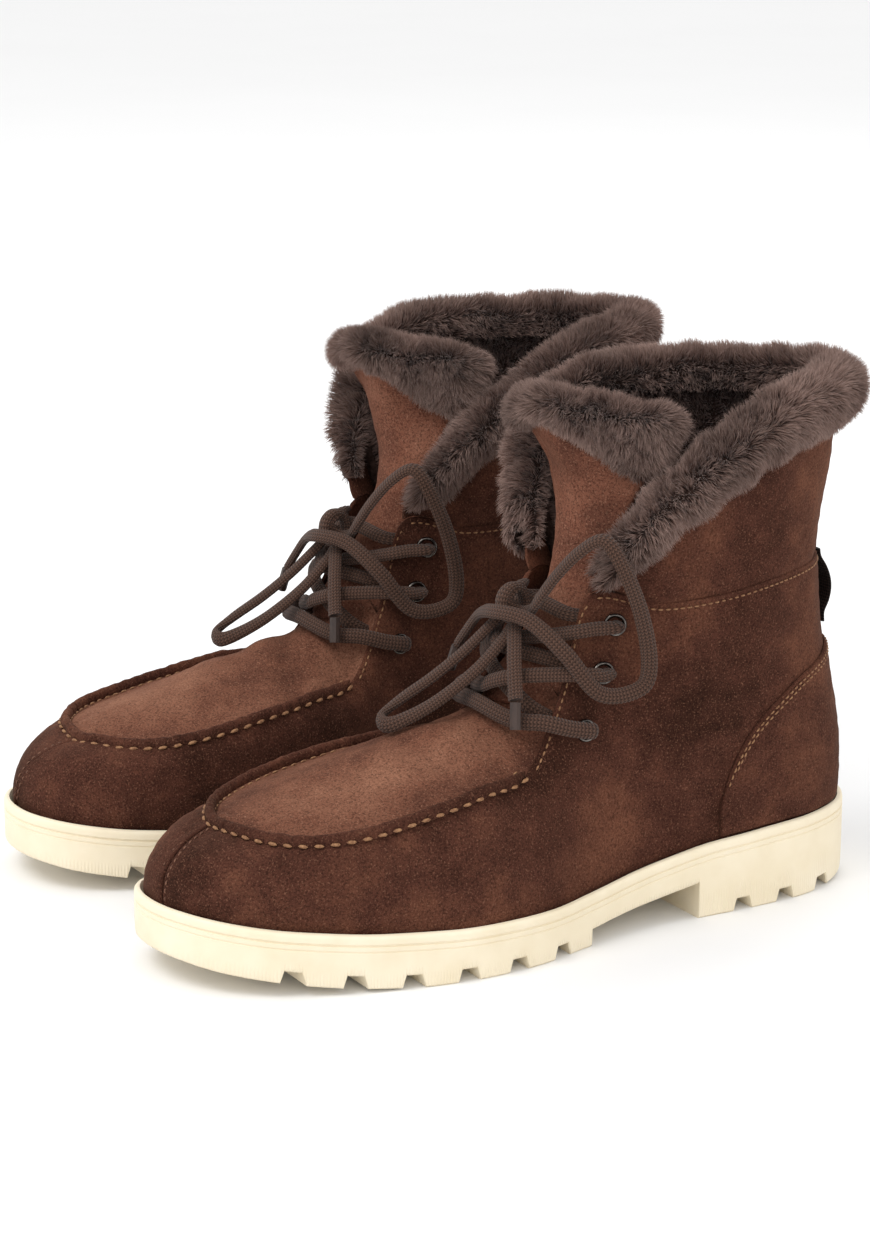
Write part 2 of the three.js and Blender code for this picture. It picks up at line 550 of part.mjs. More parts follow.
// A fur roll astride an edge: legs hang down both faces and a roof closes over the top.
function makeRoll(surface, columns, topRow, rowLength, legs, layers) {
  const sections = columns.map((column) => {
    const { front, back } = legs(column);
    const face = (a, b) => {
      const row = b < 0 ? topRow + b / rowLength(column) : topRow;
      const outward = outwardAt(surface, column, row);
      const point = surface(column, row).addScaledVector(outward, a);
      const upward = surface(column, topRow).sub(surface(column, topRow - 0.02)).normalize();
      return point.addScaledVector(upward, Math.max(b, 0));
    };
    const { near, far, thickFront, thickBack, roof } = layers(column);
    const [nearFace, farFace] = [near + thickFront, -far - thickBack];
    return [face(near, -front), face(near + thickFront * 0.75, -front - 1),
      face(nearFace, -front * 0.5), face(nearFace, 1), face(near + thickFront * 0.3, roof),
      face(-far - thickBack * 0.3, roof), face(farFace, 1), face(farFace, -back * 0.6),
      face(-far, -back), face(-far, -back * 0.5), face(-far, ROLL_SEAT), face(near, ROLL_SEAT),
      face(near, -front * 0.5)];
  });
  const flatSection = [[1, -20], [7, -21], [9, -10], [9, 1], [4, 8], [-10, 8], [-14, 1], [-14, -6],
    [-8, -10], [-8, -5], [-8, 0.3], [1, 0.3], [1, -10]];
  return travel(sections, flatSection);
}

function makeCuff(rims) {
  const surface = (station, share) => collarPoint(rims, station, share);
  const rowLength = (station) => surface(station, 1).distanceTo(surface(station, 0));
  const legs = (station) => {
    const reach = Math.min(CUFF_DROP, 0.7 * rowLength(station));
    return { front: reach, back: reach * 0.4 };
  };
  const layers = (station) => {
    const lined = Math.abs(station - SEGMENTS) < SEGMENTS - LINING_START + 0.6;
    const far = SUEDE + (lined ? LAYER_GAP + PILE + 2.5 : 1);
    return { near: CUFF_GAP, far, thickFront: CUFF_THICK, thickBack: lined ? 2.6 : 1.5, roof: CUFF_THICK };
  };
  const columns = [CORNER + 0.15, ...collarStations.slice(1, -1), RING - CORNER - 0.15];
  return makeRoll(surface, columns, 1, rowLength, legs, layers);
}

const tongueFace = (foldSide) => (across, place) => tonguePoint(foldSide, across, place);
const makeTongue = (foldSide) => sheet(tongueFace(foldSide), shares(-1, 1, 6),
  shares(0, TONGUE_KNEE - TONGUE_SPLIT, 5), 0, TONGUE_THICK);
const makeTongueFlap = (foldSide) => sheet(tongueFace(foldSide), shares(-1, 1, 6),
  shares(TONGUE_KNEE + TONGUE_SPLIT, 7, 3), 0, TONGUE_THICK);

// The tongue's fur, folded forward over the top, and further down on the fold's side.
function makeTongueFur(foldSide) {
  const rowLength = () => TONGUE_LINE[7][1] - TONGUE_LINE[6][1];
  const legs = (across) => ({ front: 8 + 13 * Math.max(0, foldSide * across), back: 8 });
  const layers = () => ({ near: 0.8, far: TONGUE_THICK + 0.8, thickFront: 6, thickBack: 4, roof: 8 });
  return makeRoll(tongueFace(foldSide), shares(-1, 1, 8), 7, rowLength, legs, layers);
}

// A webbing loop on the back seam, sewn down at both ends.
function makePullLoop() {
  const back = (share, lift) => {
    const point = wallPoint(SEGMENTS, share);
    return [point.y + lift, point.z];
  };
  const rise = [[0.74, 0.5], [0.78, 3], [0.83, LOOP_GAP], [0.89, LOOP_GAP], [0.94, 3], [0.985, 0.5]];
  const inner = rise.map(([share, lift]) => back(share, lift));
  const outer = rise.map(([share, lift]) => back(share, lift + LOOP_THICK)).reverse();
  return crossBar([...inner, ...outer], LOOP_WIDTH);
}

// A path of straight steps through the given points.
class StepPath extends THREE.Curve {
  constructor(points) {
    super();
    this.points = points;
  }

  getPoint(t, target = new THREE.Vector3()) {
    const place = Math.min(Math.max(t, 0), 1) * (this.points.length - 1);
    const i = Math.min(Math.floor(place), this.points.length - 2);
    return target.lerpVectors(this.points[i], this.points[i + 1], place - i);
  }

  getPointAt(t, target) {
    return this.getPoint(t, target);
  }

  getTangentAt(t, target) {
    return this.getTangent(t, target);
  }
}

function makeLace() {
  const path = new StepPath(LACE_ROUTE.map((point) => new THREE.Vector3(...point)));
  const section = new THREE.Shape(circle(LACE_RADIUS, 8).map(([a, b]) => new THREE.Vector2(a, b)));
  return new THREE.ExtrudeGeometry(section, { steps: LACE_ROUTE.length - 1, extrudePath: path,
    bevelEnabled: false });
}

function makeAglet([from, to]) {
  const start = new THREE.Vector3(...from);
  const ahead = new THREE.Vector3(...to).sub(start);
  const length = ahead.length();
  const tip = new THREE.CylinderGeometry(LACE_RADIUS, LACE_RADIUS, length, 8);
  tip.translate(0, length / 2 + 3 * CLEARANCE, 0);
  tip.applyQuaternion(new THREE.Quaternion().setFromUnitVectors(new THREE.Vector3(0, 1, 0),
    ahead.normalize()));
  return tip.translate(start.x, start.y, start.z);
}

function makeMesh(name, geometry, finish) {
  const mesh = new THREE.Mesh(geometry, materials[finish]);
  mesh.name = name;
  return mesh;
}

// One boot with its toes toward -Y and its outer side toward +X.
function makeBoot(prefix, rims, foldSide) {
  const boot = new THREE.Group();
  const add = (name, geometry, finish) => boot.add(makeMesh(`${prefix}_${name}`, geometry, finish));
  const medialEyelets = EYELETS.map(([station, share]) => [RING - station, share]);
  add('outsole', makeOutsole(), 'rubber');
  add('shank', makeShank(), 'steel');
  add('insole_board', makeInsoleBoard(), 'board');
  add('footbed', makeFootbed(), 'fur');
  add('heel_counter', makeHeelCounter(), 'board');
  add('toe_puff', makeToePuff(), 'board');
  add('wall_lining', makeWallLining(), 'fur');
  add('quarter_lateral', makeQuarter(0, SEGMENTS, EYELETS), 'suede');
  add('quarter_medial', makeQuarter(SEGMENTS, RING, medialEyelets), 'suede');
  add('heel_panel', makeHeelPanel(), 'suede');
  add('apron', makeApron(), 'apron');
  add('apron_lining', makeApronLining(), 'fur');
  add('apron_seam', makeRidge(), 'suede');
  add('collar', makeCollar(rims), 'suede');
  add('collar_lining', makeCollarLining(rims), 'fur');
  add('shearling_cuff', makeCuff(rims), 'fur');
  add('tongue', makeTongue(foldSide), 'tongue');
  add('tongue_flap', makeTongueFlap(foldSide), 'tongue');
  add('tongue_fur', makeTongueFur(foldSide), 'fur');
  add('pull_loop', makePullLoop(), 'webbing');
  EYELETS.forEach((place, i) => add(`eyelet_lateral_${i + 1}`, makeEyelet(place), 'gunmetal'));
  medialEyelets.forEach((place, i) => add(`eyelet_medial_${i + 1}`, makeEyelet(place), 'gunmetal'));
  return boot;
}

const boots = new THREE.Group();
const leftBoot = makeBoot('left', { lateral: RIM.folded, medial: RIM.upright }, 1);
leftBoot.position.set(STANCE / 2, 0, 0);
const rightBoot = makeBoot('right', { lateral: RIM.upright, medial: RIM.folded }, -1);
rightBoot.position.set(-STANCE / 2, 0, 0);
rightBoot.scale.x = -1;
// The bow is tied alike on both boots, so the right boot's lace is the left one moved across.
const laces = new THREE.Group();
[['left', STANCE / 2], ['right', LACE_SHIFT - STANCE / 2]].forEach(([prefix, x]) => {
  const lace = new THREE.Group();
  lace.position.set(x, 0, 0);
  lace.add(makeMesh(`${prefix}_lace`, makeLace(), 'lace'));
  AGLETS.forEach((tip, i) => {
    lace.add(makeMesh(`${prefix}_aglet_${i + 1}`, makeAglet(tip), 'webbing'));
  });
  laces.add(lace);
});
boots.add(leftBoot, rightBoot, laces);
boots.position.set(...CENTRE, 0);

export default boots;
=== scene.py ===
import json
import math

import bpy
import numpy as np
from mathutils import Matrix, Vector

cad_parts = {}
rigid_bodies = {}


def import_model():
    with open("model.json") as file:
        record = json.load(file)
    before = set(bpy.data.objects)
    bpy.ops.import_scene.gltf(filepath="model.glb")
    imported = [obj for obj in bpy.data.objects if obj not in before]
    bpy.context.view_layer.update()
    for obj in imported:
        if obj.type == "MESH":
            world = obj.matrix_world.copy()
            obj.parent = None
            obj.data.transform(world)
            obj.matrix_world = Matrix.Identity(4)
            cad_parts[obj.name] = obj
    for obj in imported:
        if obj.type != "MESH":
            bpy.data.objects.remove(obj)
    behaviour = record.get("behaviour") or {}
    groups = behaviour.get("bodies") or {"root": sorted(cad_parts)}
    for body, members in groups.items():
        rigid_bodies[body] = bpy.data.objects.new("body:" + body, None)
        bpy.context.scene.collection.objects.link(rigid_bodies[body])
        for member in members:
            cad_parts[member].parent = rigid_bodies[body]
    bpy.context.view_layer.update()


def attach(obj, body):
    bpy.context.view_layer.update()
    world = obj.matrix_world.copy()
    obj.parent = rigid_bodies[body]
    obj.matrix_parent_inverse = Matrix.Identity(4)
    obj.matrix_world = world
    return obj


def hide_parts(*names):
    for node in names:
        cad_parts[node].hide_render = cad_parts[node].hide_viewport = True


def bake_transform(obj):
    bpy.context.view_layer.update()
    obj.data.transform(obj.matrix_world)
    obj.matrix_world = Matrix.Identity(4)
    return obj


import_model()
print("frame loaded")

# Everything is worked out in millimetres in one boot's own frame: +X on the outer side, toes toward
# -Y, +Z up. placeBoot turns that into the frame's metres; the right boot is mirrored across X.
pair = {"left": 76.5, "right": -73.5, "back": -3.9}
sides = ("left", "right")


def placeBoot(side, points):
    # boot millimetres to frame metres
    x = points[..., 0] if side == "left" else -points[..., 0]
    y = points[..., 1] + pair["back"]
    return np.stack([x + pair[side], y, points[..., 2]], -1) / 1000


# Colours and materials.

def srgb(text):
    # hex colour to linear red, green, blue
    values = [int(text[i:i + 2], 16) / 255 for i in (1, 3, 5)]
    return [v / 12.92 if v <= 0.04045 else ((v + 0.055) / 1.055) ** 2.4 for v in values] + [1]


def addNode(tree, kind, settings=None, links=None):
    # adds a node, sets its sockets or properties, and links its inputs
    node = tree.nodes.new(kind)
    for key, value in (settings or {}).items():
        if isinstance(key, str) and hasattr(node, key) and key not in node.inputs:
            setattr(node, key, value)
        else:
            node.inputs[key].default_value = value
    for key, source in (links or {}).items():
        tree.links.new(source, node.inputs[key])
    return node


def newMaterial(name, settings):
    # one principled shader; the settings go on its own sockets
    material = bpy.data.materials.new(name)
    material.use_nodes = True
    tree = material.node_tree
    tree.nodes.clear()
    shader = addNode(tree, "ShaderNodeBsdfPrincipled", settings)
    addNode(tree, "ShaderNodeOutputMaterial", links={"Surface": shader.outputs[0]})
    return material, tree, shader


def noiseAt(tree, coordinates, perMetre, detail=3, rough=0.6):
    # fractal noise of about 0 to 1
    return addNode(tree, "ShaderNodeTexNoise",
                   {"Scale": perMetre, "Detail": detail, "Roughness": rough},
                   {"Vector": coordinates}).outputs["Fac"]


def ramp(tree, factor, stops):
    # stops are pairs of place and hex colour or grey
    node = addNode(tree, "ShaderNodeValToRGB", links={"Fac": factor})
    while len(node.color_ramp.elements) < len(stops):
        node.color_ramp.elements.new(0.5)
    for element, (place, colour) in zip(node.color_ramp.elements, stops):
        element.position = place
        element.color = srgb(colour) if isinstance(colour, str) else [colour] * 3 + [1]
    return node.outputs["Color"]


def mixColours(tree, factor, first, second, kind="MIX"):
    # each input is a socket or a plain value
    node = addNode(tree, "ShaderNodeMix", {"data_type": "RGBA", "blend_type": kind})
    for socket, value in ((node.inputs[0], factor), (node.inputs[6], first), (node.inputs[7], second)):
        if isinstance(value, bpy.types.NodeSocket):
            tree.links.new(value, socket)
        else:
            socket.default_value = value
    return node.outputs[2]


def addBump(tree, shader, height, strength, distance):
    # turns the normals by a height map; distance is in metres
    bump = addNode(tree, "ShaderNodeBump", {"Strength": strength, "Distance": distance},
                   {"Height": height})
    tree.links.new(bump.outputs[0], shader.inputs["Normal"])


# Napped suede: split hide brushed to a short nap. Patches brushed one way look light and the
# others dark, and single fibres give a fine pepper.
suedeShades = {
    "suedeDark": ["#351e16", "#4d2e24", "#694232", "#805a47"],
    # the apron's and tongue's shades are lighter than the sides': partly a lighter suede, partly a painted
    # sheen on these upward-facing panels
    "suedeApron": ["#503127", "#704838", "#895e4a", "#9c735e"],
    "suedeTongue": ["#59382d", "#774c3c", "#8c5f4c", "#a07661"],
}


def suedeMaterial(name):
    shades = suedeShades[name]
    material, tree, shader = newMaterial(name, {
        "Roughness": 0.95, "IOR": 1.45, "Specular IOR Level": 0.08, "Sheen Weight": 0.12,
        "Sheen Roughness": 0.45, "Sheen Tint": srgb("#b98a6c")})
    place = addNode(tree, "ShaderNodeTexCoord").outputs["Object"]
    patches = noiseAt(tree, place, 20, 3, 0.6)        # brushed patches about 50 mm wide
    smudges = noiseAt(tree, place, 120, 3, 0.6)       # smudges about 8 mm wide
    pepper = noiseAt(tree, place, 1050, 2, 0.9)       # gaps between fibres, drawn 1 mm wide
    sparks = noiseAt(tree, place, 1500, 1, 0.5)       # fibre tips that catch the light
    nap = mixColours(tree, 0.2, patches, smudges)
    colour = ramp(tree, nap, [(0.36, shades[0]), (0.5, shades[1]), (0.66, shades[2])])
    tips = ramp(tree, sparks, [(0.58, 0.0), (0.74, 0.6)])
    colour = mixColours(tree, tips, colour, srgb(shades[3]))
    grain = ramp(tree, pepper, [(0.35, 0.42), (0.49, 0.82), (0.6, 1.0)])
    tree.links.new(mixColours(tree, 1.0, colour, grain, "MULTIPLY"), shader.inputs["Base Color"])
    addBump(tree, shader, mixColours(tree, 0.2, pepper, smudges), 0.55, 0.0006)
    return material


def rubberMaterial():
    # moulded crepe-like rubber: matt, slightly uneven cream, with fine ribs on the tread's edges
    material, tree, shader = newMaterial("mouldedCreamRubber", {
        "Roughness": 0.5, "IOR": 1.5, "Specular IOR Level": 0.35})
    place = addNode(tree, "ShaderNodeTexCoord").outputs["Object"]
    cloud = noiseAt(tree, place, 45, 3)
    colour = ramp(tree, cloud, [(0.3, "#e6d8bb"), (0.7, "#eee2c9")])
    rib = addNode(tree, "ShaderNodeAttribute", {"attribute_name": "rib"}).outputs["Fac"]
    waves = addNode(tree, "ShaderNodeTexWave", {"bands_direction": "Y", "Scale": 260, "Distortion": 0},
                    {"Vector": place}).outputs["Fac"]
    scuffs = mixColours(tree, rib, [0.5, 0.5, 0.5, 1], waves)
    tree.links.new(colour, shader.inputs["Base Color"])
    addBump(tree, shader, mixColours(tree, 0.25, scuffs, noiseAt(tree, place, 900, 2)), 0.35, 0.0005)
    return material


def grainyMaterial(name, settings, grain, dark, light, bump):
    # one noise drifts the colour from dark to light and raises the surface. Grain is its scale per
    # metre, detail and roughness; bump is its strength and its height in metres.
    material, tree, shader = newMaterial(name, settings)
    place = addNode(tree, "ShaderNodeTexCoord").outputs["Object"]
    height = noiseAt(tree, place, *grain)
    tree.links.new(ramp(tree, height, [(0.3, dark), (0.7, light)]), shader.inputs["Base Color"])
    addBump(tree, shader, height, *bump)
    return material


def pileMaterial(name, dark, light):
    # the pelt under the wool: short curled pile seen between the locks
    return grainyMaterial(name, {"Roughness": 1.0, "Specular IOR Level": 0.05}, (420, 4, 0.7),
                          dark, light, (0.9, 0.002))


def woolMaterial(name, root, middle, tip):
    # sheared wool fibres: dark at the root and lighter at the tip, each lock a little different.
    # The map's U is the lock's own shade and V runs from root to tip.
    material, tree, shader = newMaterial(name, {
        "Roughness": 0.75, "Specular IOR Level": 0.12, "Sheen Weight": 0.15, "Sheen Roughness": 0.4})
    place = addNode(tree, "ShaderNodeUVMap", {"uv_map": "UVMap"}).outputs[0]
    parts = addNode(tree, "ShaderNodeSeparateXYZ", links={0: place})
    along = ramp(tree, parts.outputs[1], [(0.0, root), (0.45, middle), (1.0, tip)])
    shade = ramp(tree, parts.outputs[0], [(0.0, 0.55), (0.5, 0.8), (1.0, 1.0)])
    tree.links.new(mixColours(tree, 1.0, along, shade, "MULTIPLY"), shader.inputs["Base Color"])
    return material


def braidMaterial():
    # flat-round braided polyester lace: ribs along it, each a row of small V-shaped yarns. The
    # map's U runs once round the lace and V along it in metres.
    material, tree, shader = newMaterial("braidedLace", {
        "Roughness": 0.85, "Specular IOR Level": 0.15, "Sheen Weight": 0.1})
    place = addNode(tree, "ShaderNodeUVMap", {"uv_map": "UVMap"}).outputs[0]
    parts = addNode(tree, "ShaderNodeSeparateXYZ", links={0: place})
    around, length = parts.outputs[0], parts.outputs[1]
    # height of the yarns: sine of the length plus a zigzag of the way around
    zigzag = addNode(tree, "ShaderNodeMath", {"operation": "PINGPONG", 1: 0.5}, {0: addNode(
        tree, "ShaderNodeMath", {"operation": "MULTIPLY", 1: 12.0}, {0: around}).outputs[0]})
    turns = addNode(tree, "ShaderNodeMath", {"operation": "MULTIPLY_ADD", 1: 720.0},
                    {0: length, 2: zigzag.outputs[0]})
    phase = addNode(tree, "ShaderNodeMath", {"operation": "MULTIPLY", 1: 2 * math.pi},
                    {0: turns.outputs[0]})
    yarn = addNode(tree, "ShaderNodeMath", {"operation": "SINE"}, {0: phase.outputs[0]})
    height = addNode(tree, "ShaderNodeMath", {"operation": "MULTIPLY_ADD", 1: 0.5, 2: 0.5},
                     {0: yarn.outputs[0]}).outputs[0]
    colour = ramp(tree, height, [(0.0, "#38271f"), (0.5, "#4b352b"), (1.0, "#5c4337")])
    # painted shade: the colour is darkened down the grooves between the ribs
    ribs = ramp(tree, zigzag.outputs[0], [(0.0, 1.0), (0.3, 0.9), (0.5, 0.38)])
    tree.links.new(mixColours(tree, 1.0, colour, ribs, "MULTIPLY"), shader.inputs["Base Color"])
    addBump(tree, shader, height, 0.6, 0.0005)
    return material


def threadMaterial(name, dark, light):
    # waxed linen thread, twisted
    return grainyMaterial(name, {"Roughness": 0.65, "Specular IOR Level": 0.25}, (900, 2), dark, light,
                          (0.5, 0.0004))


def metalMaterial(name, colour, roughness):
    # plated metal with a faint brushed unevenness
    material, tree, shader = newMaterial(name, {"Metallic": 1.0})
    place = addNode(tree, "ShaderNodeTexCoord").outputs["Object"]
    worn = noiseAt(tree, place, 700, 2)
    tree.links.new(ramp(tree, worn, [(0.3, colour[0]), (0.7, colour[1])]), shader.inputs["Base Color"])
    tree.links.new(ramp(tree, worn, [(0.0, roughness * 0.8), (1.0, roughness * 1.3)]),
                   shader.inputs["Roughness"])
    return material


def wovenMaterial(name, dark, light, perMetre):
    # plain weave or pressed fibre: two crossed waves
    material, tree, shader = newMaterial(name, {"Roughness": 0.9, "Specular IOR Level": 0.15})
    place = addNode(tree, "ShaderNodeTexCoord").outputs["Object"]
    across = addNode(tree, "ShaderNodeTexWave", {"bands_direction": "X", "Scale": perMetre},
                     {"Vector": place}).outputs["Fac"]
    upward = addNode(tree, "ShaderNodeTexWave", {"bands_direction": "Z", "Scale": perMetre},
                     {"Vector": place}).outputs["Fac"]
    weave = mixColours(tree, 0.5, across, upward)
    tree.links.new(ramp(tree, weave, [(0.3, dark), (0.7, light)]), shader.inputs["Base Color"])
    addBump(tree, shader, weave, 0.5, 0.0005)
    return material


def filmMaterial():
    # heat-shrunk plastic film on the lace tips
    return grainyMaterial("tipFilm", {"Roughness": 0.55, "IOR": 1.5}, (300, 2), "#2b1d17", "#3a2820",
                          (0.2, 0.0003))


materials = {name: suedeMaterial(name) for name in suedeShades}
materials.update({
    "rubber": rubberMaterial(),
    "pelt": pileMaterial("shearlingPelt", "#2a1e1a", "#4b3b35"),
    "liningPile": pileMaterial("liningPile", "#2b1f1b", "#4a3a34"),
    "wool": woolMaterial("shearedWool", "#4d3a34", "#84695f", "#a88f85"),
    "woolInside": woolMaterial("innerWool", "#4a3831", "#7b6259", "#99827a"),
    "braid": braidMaterial(),
    "thread": threadMaterial("waxedThread", "#6f4a33", "#a07855"),
    "toeThread": threadMaterial("brownThread", "#4d3024", "#7a5440"),
    "gunmetal": metalMaterial("gunmetalPlate", ["#4a4542", "#77716c"], 0.24),
    "steel": metalMaterial("springSteel", ["#85888c", "#a4a7aa"], 0.35),
    "webbing": wovenMaterial("wovenWebbing", "#0f0a09", "#2e221e", 260),
    "board": wovenMaterial("fibreBoard", "#9c8460", "#bda57f", 200),
    "tipFilm": filmMaterial(),
})
print("materials made")

# The boot's shape.

shape = {
    "wallInset": 4.3, "lipDepth": 3.5, "lipWidth": 3.2, "suede": 1.8, "pile": 5.0,
    "ring": 28, "heel": 14, "corner": 9, "collarSag": 1.5, "tongueMiddle": -0.75,
}
outlineLateral = [[-12, -152], [6, -149], [23, -138], [36, -120], [46, -95], [52.5, -68], [55.5, -42],
                  [53, -15], [45, 11], [39, 38], [38, 66], [37.5, 94], [34, 121], [22, 144], [0, 155]]
outlineMedial = [[-12, -152], [-28, -148], [-41, -136], [-50, -116], [-54.5, -91], [-55, -64],
                 [-52, -38], [-46, -12], [-41, 13], [-39, 38], [-38.5, 66], [-37.5, 94], [-34, 121],
                 [-22, 144], [0, 155]]
topLateral = [[-11, -122, 55], [7, -120, 56], [21, -113, 55.5], [33, -101, 56], [39, -82, 58],
              [40, -58, 62], [38, -34, 66], [31, -10, 70], [25, 9, 100], [22, 22, 133], [35, 46, 130],
              [38.5, 72, 131], [36, 99, 134], [23, 126, 135.5], [0, 140, 135.5]]
topMedial = [[-11, -122, 55], [-22, -118.5, 56], [-34, -110, 56], [-43, -97, 57], [-48, -79, 60],
             [-48, -56, 64], [-44, -33, 67], [-36, -9, 71], [-28, 9, 100], [-24, 22, 133],
             [-35, 46, 130], [-38.5, 72, 131], [-36, 99, 134], [-23, 126, 135.5], [0, 140, 135.5]]
# tangent handles of the side wall at the stations: rise and bulge at the foot, out and drop on top
handles = np.array([
    [18, 17, 17, 16, 16, 18, 18, 20, 28, 35, 35, 35, 32, 30, 30],
    [3, 3, 3, 3, 3, 3, 2, 1, 0, 1, 3, 4, 6, 6, 6],
    [13, 13, 12, 10, 8, 8, 10, 13, 9, 8, 3, 1, 0, 0, 0],
    [2, 2, 3, 4, 5, 6, 8, 14, 28, 35, 30, 30, 34, 38, 38]], float).T
rimFolded = [[27, 23, 142], [40, 43, 168], [47, 70, 189], [43, 99, 201], [27, 132, 205], [0, 150, 205]]
rimUpright = [[28, 23, 144], [46, 35, 182], [50, 59, 201], [45, 92, 205], [27, 132, 205], [0, 150, 205]]
tongueLine = np.array([[-8, 91], [3, 107], [13, 119], [21, 134], [25, 156], [24, 176], [20, 190],
                       [16, 203]], float)
# half width of the tongue, how far its edges sweep back on the folded and upright side, and how
# far they sag, at the places of tongueLine
tongueFolded = [[27, 23], [24.5, 20], [21.5, 16], [20, 12], [20, 13], [23, 22], [25.5, 33], [27.5, 43]]
tongueUpright = [[27, 23], [24.5, 20], [21.5, 16], [20, 12], [19.5, 11], [22, 9], [24.5, 7], [27, 6]]
tongueSag = [0, 0, 0, 0, 0, 2, 5, 8]
apronCrown = np.array([1, 3, 5, 7, 9, 12, 15, 19, 15, 13], float)[:, None]
eyeletPlaces = [(8.35, 0.68), (9, 0.73), (9.35, 0.88)]
medialPlaces = [(28 - station, share) for station, share in eyeletPlaces]


def joinSides(lateral, medial):
    # closed ring: the outer side from toe to heel, then the inner side back to the toe
    return np.array(list(lateral) + list(medial[1:-1])[::-1], float)


outlineRing = joinSides(outlineLateral, outlineMedial)
topRing = joinSides(topLateral, topMedial)
handleRing = joinSides(handles, handles)


def blendFour(a, b, c, d, t):
    # Catmull-Rom: half of twice b, plus t times the chord, and so on to t cubed
    return 0.5 * (2 * b + (c - a) * t + (2 * a - 5 * b + 4 * c - d) * t ** 2
                  + (3 * b - a - 3 * c + d) * t ** 3)


def readRing(ring, station):
    # smooth closed curve through the ring's rows
    station = np.asarray(station, float)
    i = np.floor(station).astype(int)
    rows = [ring[(i + k) % len(ring)] for k in (-1, 0, 1, 2)]
    return blendFour(*rows, (station - i)[..., None])


def readRow(row, place):
    # smooth open curve through the row's entries
    place = np.asarray(place, float)
    i = np.clip(np.floor(place).astype(int), 0, len(row) - 2)
    rows = [row[np.clip(i + k, 0, len(row) - 1)] for k in (-1, 0, 1, 2)]
    return blendFour(*rows, (place - i)[..., None])


def eased(y, knots):
    # straight-line reading of the knots, averaged over a short stretch to round its corners
    places, values = zip(*knots)
    return np.mean([np.interp(y + step, places, values) for step in (-6, -3, 0, 3, 6)], axis=0)


def lipHeight(y):
    # top of the sole's lip along the boot, lowest in the waist
    return eased(y, [(-152, 31), (-120, 26), (-87, 22.5), (-50, 20.5), (0, 20), (20, 22), (45, 26),
                     (68, 30), (105, 32.5), (156, 34)])


def treadHeight(y):
    # lowest line of the tread, curling up at the toe and a little at the heel
    return eased(y, [(-152, 13), (-139, 9.5), (-114, 5), (-92, 2), (-66, 0), (0, 0), (130, 0),
                     (156, 4)])


def unit(v):
    # vectors divided by their length
    return v / np.maximum(np.linalg.norm(v, axis=-1, keepdims=True), 1e-9)


def outlinePoint(station, inset):
    # plan outline drawn in by the inset, with its outward direction
    here = readRing(outlineRing, station)
    ahead = readRing(outlineRing, np.asarray(station, float) + 0.05)
    behind = readRing(outlineRing, np.asarray(station, float) - 0.05)
    step = ahead - behind
    outward = unit(np.stack([step[..., 1], -step[..., 0]], -1))
    return here - outward * np.asarray(inset, float)[..., None], outward


def wallPoint(station, share):
    # cubic Bezier from the foot of the upper to its top edge
    station, share = np.broadcast_arrays(np.asarray(station, float), np.asarray(share, float))
    flat, outward = outlinePoint(station, shape["wallInset"])
    foot = np.concatenate([flat, (lipHeight(flat[..., 1]) - shape["lipDepth"])[..., None]], -1)
    out3 = np.concatenate([outward, np.zeros_like(outward[..., :1])], -1)
    up = np.array([0, 0, 1.0])
    rise, bulge, out, drop = np.moveaxis(readRing(handleRing, station), -1, 0)[..., None]
    top = readRing(topRing, station)
    lower = foot + out3 * bulge + up * rise
    upper = top + out3 * out - up * drop
    t = share[..., None]
    return ((1 - t) ** 3 * foot + 3 * (1 - t) ** 2 * t * lower + 3 * (1 - t) * t ** 2 * upper
            + t ** 3 * top)


def leanedWall(station, share):
    # the seam down the toe leans to the outer side: stations shift near it, most at the foot
    nearest = (np.asarray(station, float) + 14) % 28 - 14
    return wallPoint(station + 0.55 * (1 - np.clip(share, 0, 1)) * np.exp(-(nearest / 1.3) ** 2), share)


def collarSurface(rimLateral, rimMedial):
    mirrored = [[-x, y, z] for x, y, z in rimMedial[:-1]][::-1]
    rims = np.array(list(rimLateral) + mirrored, float)

    def point(station, share):
        # quadratic Bezier from the seam to the rim, leaning a little forward in the middle
        station, share = np.broadcast_arrays(np.asarray(station, float), np.asarray(share, float))
        rim = readRow(rims, station - shape["corner"])
        seam = readRing(topRing, station) + np.array([0, 0, 0.4])
        middle = (seam + rim) / 2 - np.array([0, shape["collarSag"], 0])
        t = share[..., None]
        return (1 - t) ** 2 * seam + 2 * (1 - t) * t * middle + t ** 2 * rim
    return point


def apronPoint(station, share):
    # chord between the two apron seams, raised by the crown toward the middle
    station, share = np.broadcast_arrays(np.asarray(station, float), np.asarray(share, float))
    outer = readRing(topRing, station)
    inner = readRing(topRing, shape["ring"] - station)
    crown = readRow(apronCrown, station)[..., 0]
    rise = crown * np.maximum(4 * share * (1 - share), 0) ** 1.7
    point = outer + (inner - outer) * share[..., None]
    point[..., 2] += rise
    return point


def tongueSurface(foldSide):
    def point(across, place):
        # middle line plus half width across; the edges sweep back and sag with the square of across
        across, place = np.broadcast_arrays(np.asarray(across, float), np.asarray(place, float))
        line = readRow(tongueLine, place)
        table = np.column_stack([tongueFolded, tongueUpright, tongueSag]).astype(float)
        read = readRow(table, place)
        blend = (0.5 + 0.5 * np.tanh(6 * across * foldSide))[..., None]
        half, wrap = np.moveaxis(read[..., 2:4] + (read[..., :2] - read[..., 2:4]) * blend, -1, 0)
        return np.stack([shape["tongueMiddle"] + across * half, line[..., 0] + wrap * across ** 2,
                         line[..., 1] - read[..., 4] * across ** 2], -1)
    return point


def outwardOf(surface, a, b, step=0.01):
    # cross product of the two directions of travel
    return unit(np.cross(surface(a + step, b) - surface(a - step, b),
                         surface(a, b + step) - surface(a, b - step)))


